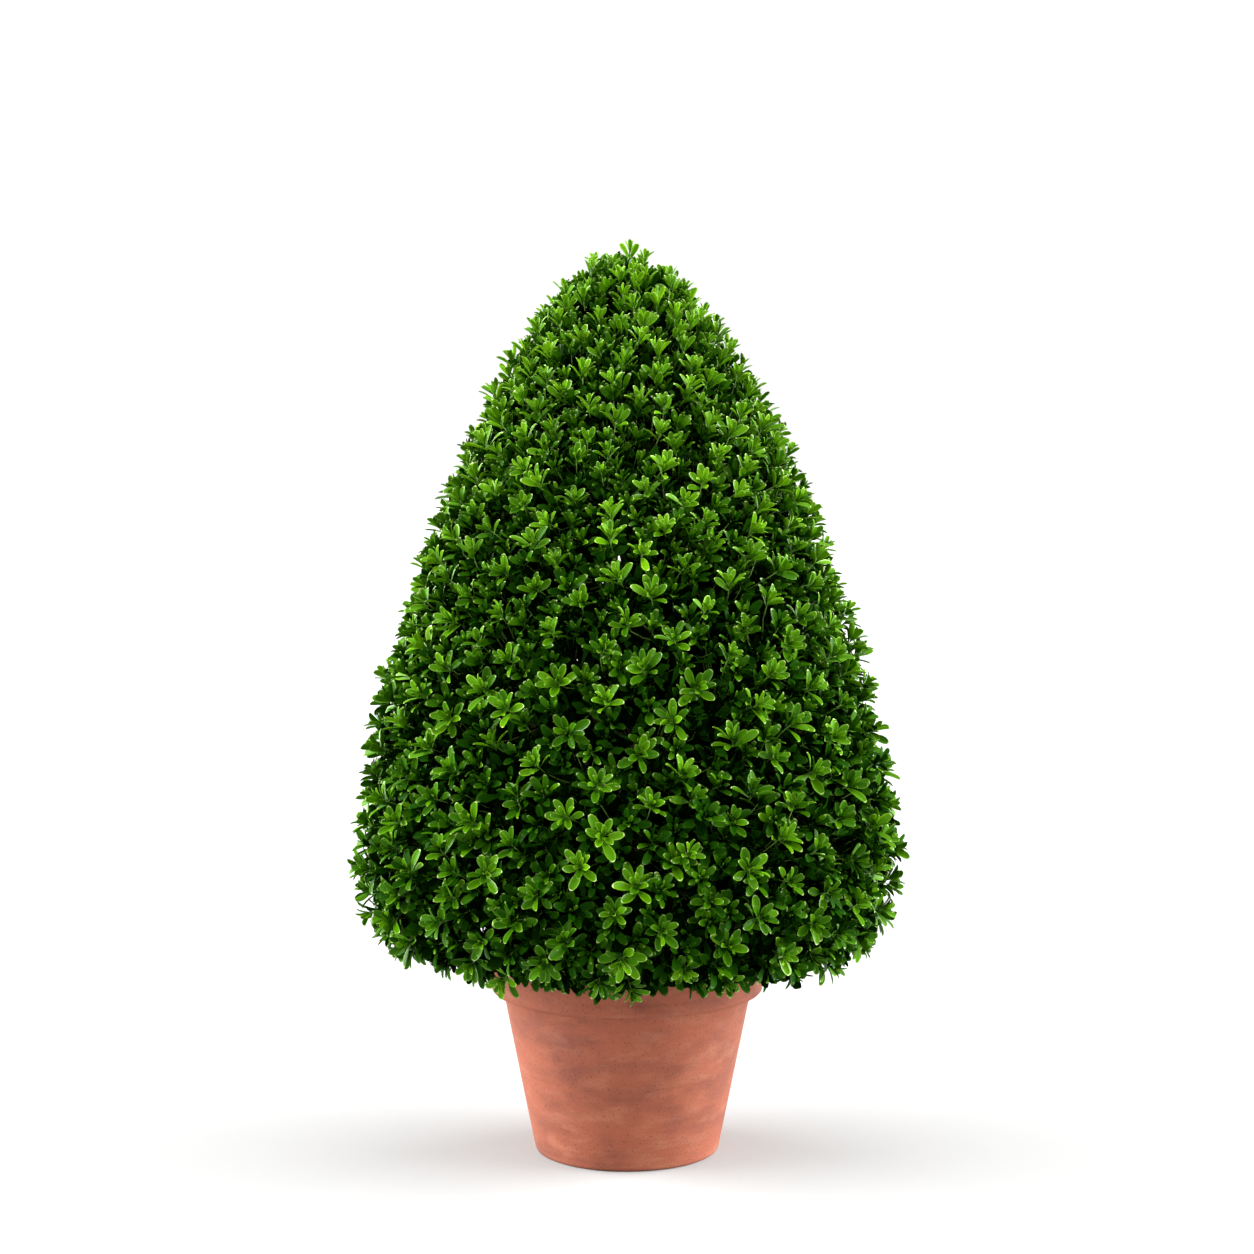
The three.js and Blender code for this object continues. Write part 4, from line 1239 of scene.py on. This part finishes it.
class BOXWOOD_OT_soil(bpy.types.Operator):
    """Fill the pot with soil and strew bark chips on it"""

    bl_idname = "boxwood.soil"
    bl_label = "Fill Soil"

    def execute(self, context):
        pot = context.scene.boxwood_pot
        soil, chips = soil_materials(pot)
        bottom, top = pot.floor + GAP, pot.soil_height
        low = pot.foot - pot.wall - SOIL_CLEARANCE
        edge = self.inside(pot, top - SOIL_EDGE) - SOIL_CLEARANCE
        profile = [(0, bottom)]
        profile += line((low, bottom), (edge, top - SOIL_DIP), count=10)
        inward = np.linspace(*SOIL_RINGS)
        profile += [(edge * (1 - s), top - SOIL_DIP * (1 - s) ** 2) for s in inward]
        profile += [(0, top)]
        mesh = lathe(profile, SOIL_SEGMENTS)
        for vertex in mesh.vertices:
            if vertex.co.z > top - ROUGH_DEPTH:
                clods, crumbs = noise.noise(vertex.co * CLODS), noise.noise(vertex.co * CRUMBS)
                vertex.co.z += ROUGHNESS * (clods + CRUMB_SHARE * crumbs) - SETTLING
        mesh.materials.append(soil)
        hand_over(add_piece("soil", mesh), "soil", "potting_soil")
        rng = np.random.default_rng(CHIP_SEED)
        turn = rng.uniform(0, 2 * math.pi, CHIP_COUNT)
        reach = edge * np.sqrt(rng.uniform(*CHIP_AREA, CHIP_COUNT))
        height = top - SOIL_DIP * (reach / edge) ** 2 + rng.uniform(*CHIP_HEIGHTS, CHIP_COUNT)
        upward = np.array([0, 0, 1.0]) + rng.normal(0, CHIP_TILT, (CHIP_COUNT, 3))
        size = np.stack([rng.uniform(*ends, CHIP_COUNT) for ends in CHIP_SIZES], axis=-1)
        along = rng.normal(0, 1, (CHIP_COUNT, 3))
        attributes = {
            "facing": ("QUATERNION", facings(along, upward)),
            "size": ("FLOAT_VECTOR", size),
        }
        source = points_object("chip_points", polar(turn, reach, height), attributes)
        piece = grown(source, "soil_chips", self.chip_tree(chips), {"Roughness": CHIP_ROUGHNESS})
        hand_over(piece, "soil")
        return {"FINISHED"}

    def inside(self, pot, height):
        """The radius of the pot's inside at a height."""
        low = pot.foot - pot.wall
        high = pot.neck - pot.wall + MOUTH_SPREAD
        return low + (high - low) * (height - pot.floor) / (pot.height - RIM_ROUND - pot.floor)

    def chip_tree(self, material):
        """Puts an angular chip on every point."""
        tree, start, end = new_tree("Bark Chips", ("Roughness",))
        inputs = {"Radius": 1.0, "Subdivisions": 1}
        stone = add_node(tree, "GeometryNodeMeshIcoSphere", inputs).outputs["Mesh"]
        place = add_node(tree, "GeometryNodeInputPosition").outputs[0]
        uneven = add_node(tree, "ShaderNodeTexNoise", {"Vector": place, "Scale": 1.4}).outputs["Fac"]
        centred = math_node(tree, "SUBTRACT", uneven, 0.5)
        share = math_node(tree, "MULTIPLY", centred, start.outputs["Roughness"])
        push = add_node(tree, "ShaderNodeVectorMath", {0: place, 3: share}, operation="SCALE").outputs[0]
        inputs = {"Geometry": stone, "Offset": push}
        knocked = add_node(tree, "GeometryNodeSetPosition", inputs).outputs[0]
        chips = on_points(tree, start.outputs["Geometry"], knocked)
        real = add_node(tree, "GeometryNodeRealizeInstances", {"Geometry": chips}).outputs[0]
        inputs = {"Geometry": real, "Material": material}
        dressed = add_node(tree, "GeometryNodeSetMaterial", inputs).outputs[0]
        tree.links.new(dressed, end.inputs[0])
        return tree


class BOXWOOD_OT_stage(bpy.types.Operator):
    """Set up the pale floor, the soft light and the camera"""

    bl_idname = "boxwood.stage"
    bl_label = "Set Stage"

    def execute(self, context):
        stage = context.scene.boxwood_stage
        self.floor(stage)
        world = bpy.data.worlds.new("soft_surround")
        world.use_nodes = True
        tree = world.node_tree
        upward = add_node(tree, "ShaderNodeTexCoord").outputs["Generated"]
        height = add_node(tree, "ShaderNodeSeparateXYZ", {0: upward}).outputs["Z"]
        glow = ramp(tree, height, *((at, (share, share, share)) for at, share in SKY_BANDS))
        background = tree.nodes["Background"]
        tree.links.new(glow, background.inputs["Color"])
        background.inputs["Strength"].default_value = stage.sky
        context.scene.world = world
        context.scene.view_settings.view_transform = "Standard"
        for side, turn in (("left", -1), ("right", 1)):
            for kind, azimuth, elevation in LIGHTS:
                name, strength = f"{side}_{kind}_light", getattr(stage, kind)
                self.light(name, turn * azimuth, elevation, stage.softness, strength)
        target = Vector((0, 0, stage.target_height))
        lens = bpy.data.cameras.new("photo_camera")
        lens.lens = stage.lens
        lens.sensor_width = 36
        camera = bpy.data.objects.new("photo_camera", lens)
        camera.location = (0, -stage.distance, stage.camera_height)
        camera.rotation_euler = (target - camera.location).to_track_quat("-Z", "Y").to_euler()
        context.scene.collection.objects.link(camera)
        context.scene.camera = camera
        return {"FINISHED"}

    def floor(self, stage):
        """A wide, plain, pale floor."""
        work = bmesh.new()
        place = Matrix.Translation((0, 0, -GAP))
        bmesh.ops.create_grid(work, x_segments=4, y_segments=4, size=FLOOR_REACH, matrix=place)
        mesh = finished(work, "floor")
        material, _, _ = new_material("pale_floor", stage.floor, roughness=0.9)
        mesh.materials.append(material)
        floor = add_piece("floor", mesh)

    def light(self, name, azimuth, elevation, softness, strength):
        """A soft distant light, from an azimuth off the camera's side and an elevation in degrees."""
        lamp = bpy.data.lights.new(name, "SUN")
        lamp.angle = softness
        lamp.energy = strength
        turn, rise = math.radians(azimuth), math.radians(elevation)
        flat = math.cos(rise)
        toward = Vector((math.sin(turn) * flat, -math.cos(turn) * flat, math.sin(rise)))
        light = bpy.data.objects.new(name, lamp)
        light.location = LIGHT_DISTANCE * toward
        light.rotation_euler = toward.to_track_quat("Z", "Y").to_euler()
        bpy.context.scene.collection.objects.link(light)


class BOXWOOD_PT_sidebar(bpy.types.Panel):
    """The plant's sizes and the steps that make it"""

    bl_idname = "BOXWOOD_PT_sidebar"
    bl_label = "Potted Boxwood Cone"
    bl_space_type = "VIEW_3D"
    bl_region_type = "UI"
    bl_category = "Boxwood"

    def draw(self, context):
        for name, group in GROUPS.items():
            box = self.layout.box()
            box.label(text=group.__doc__)
            settings = getattr(context.scene, name)
            for key in group.__annotations__:
                box.prop(settings, key)
        for step in STEPS:
            self.layout.operator(step.bl_idname)


GROUPS = {
    "boxwood_crown": BoxwoodCrown,
    "boxwood_leaf": BoxwoodLeaf,
    "boxwood_wood": BoxwoodWood,
    "boxwood_pot": BoxwoodPot,
    "boxwood_stage": BoxwoodStage,
}
STEPS = (
    BOXWOOD_OT_pot,
    BOXWOOD_OT_soil,
    BOXWOOD_OT_limbs,
    BOXWOOD_OT_twigs,
    BOXWOOD_OT_leaves,
    BOXWOOD_OT_stage,
)


def register():
    for item in (*GROUPS.values(), *STEPS, BOXWOOD_PT_sidebar):
        bpy.utils.register_class(item)
    for name, group in GROUPS.items():
        setattr(bpy.types.Scene, name, bpy.props.PointerProperty(type=group))


def unregister():
    for name in GROUPS:
        delattr(bpy.types.Scene, name)
    for item in (BOXWOOD_PT_sidebar, *reversed(STEPS), *reversed(GROUPS.values())):
        bpy.utils.unregister_class(item)


def main():
    register()
    bpy.ops.boxwood.pot()
    bpy.ops.boxwood.soil()
    bpy.ops.boxwood.limbs()
    bpy.ops.boxwood.twigs()
    bpy.ops.boxwood.leaves()
    bpy.ops.boxwood.stage()


if __name__ == "__main__":
    main()
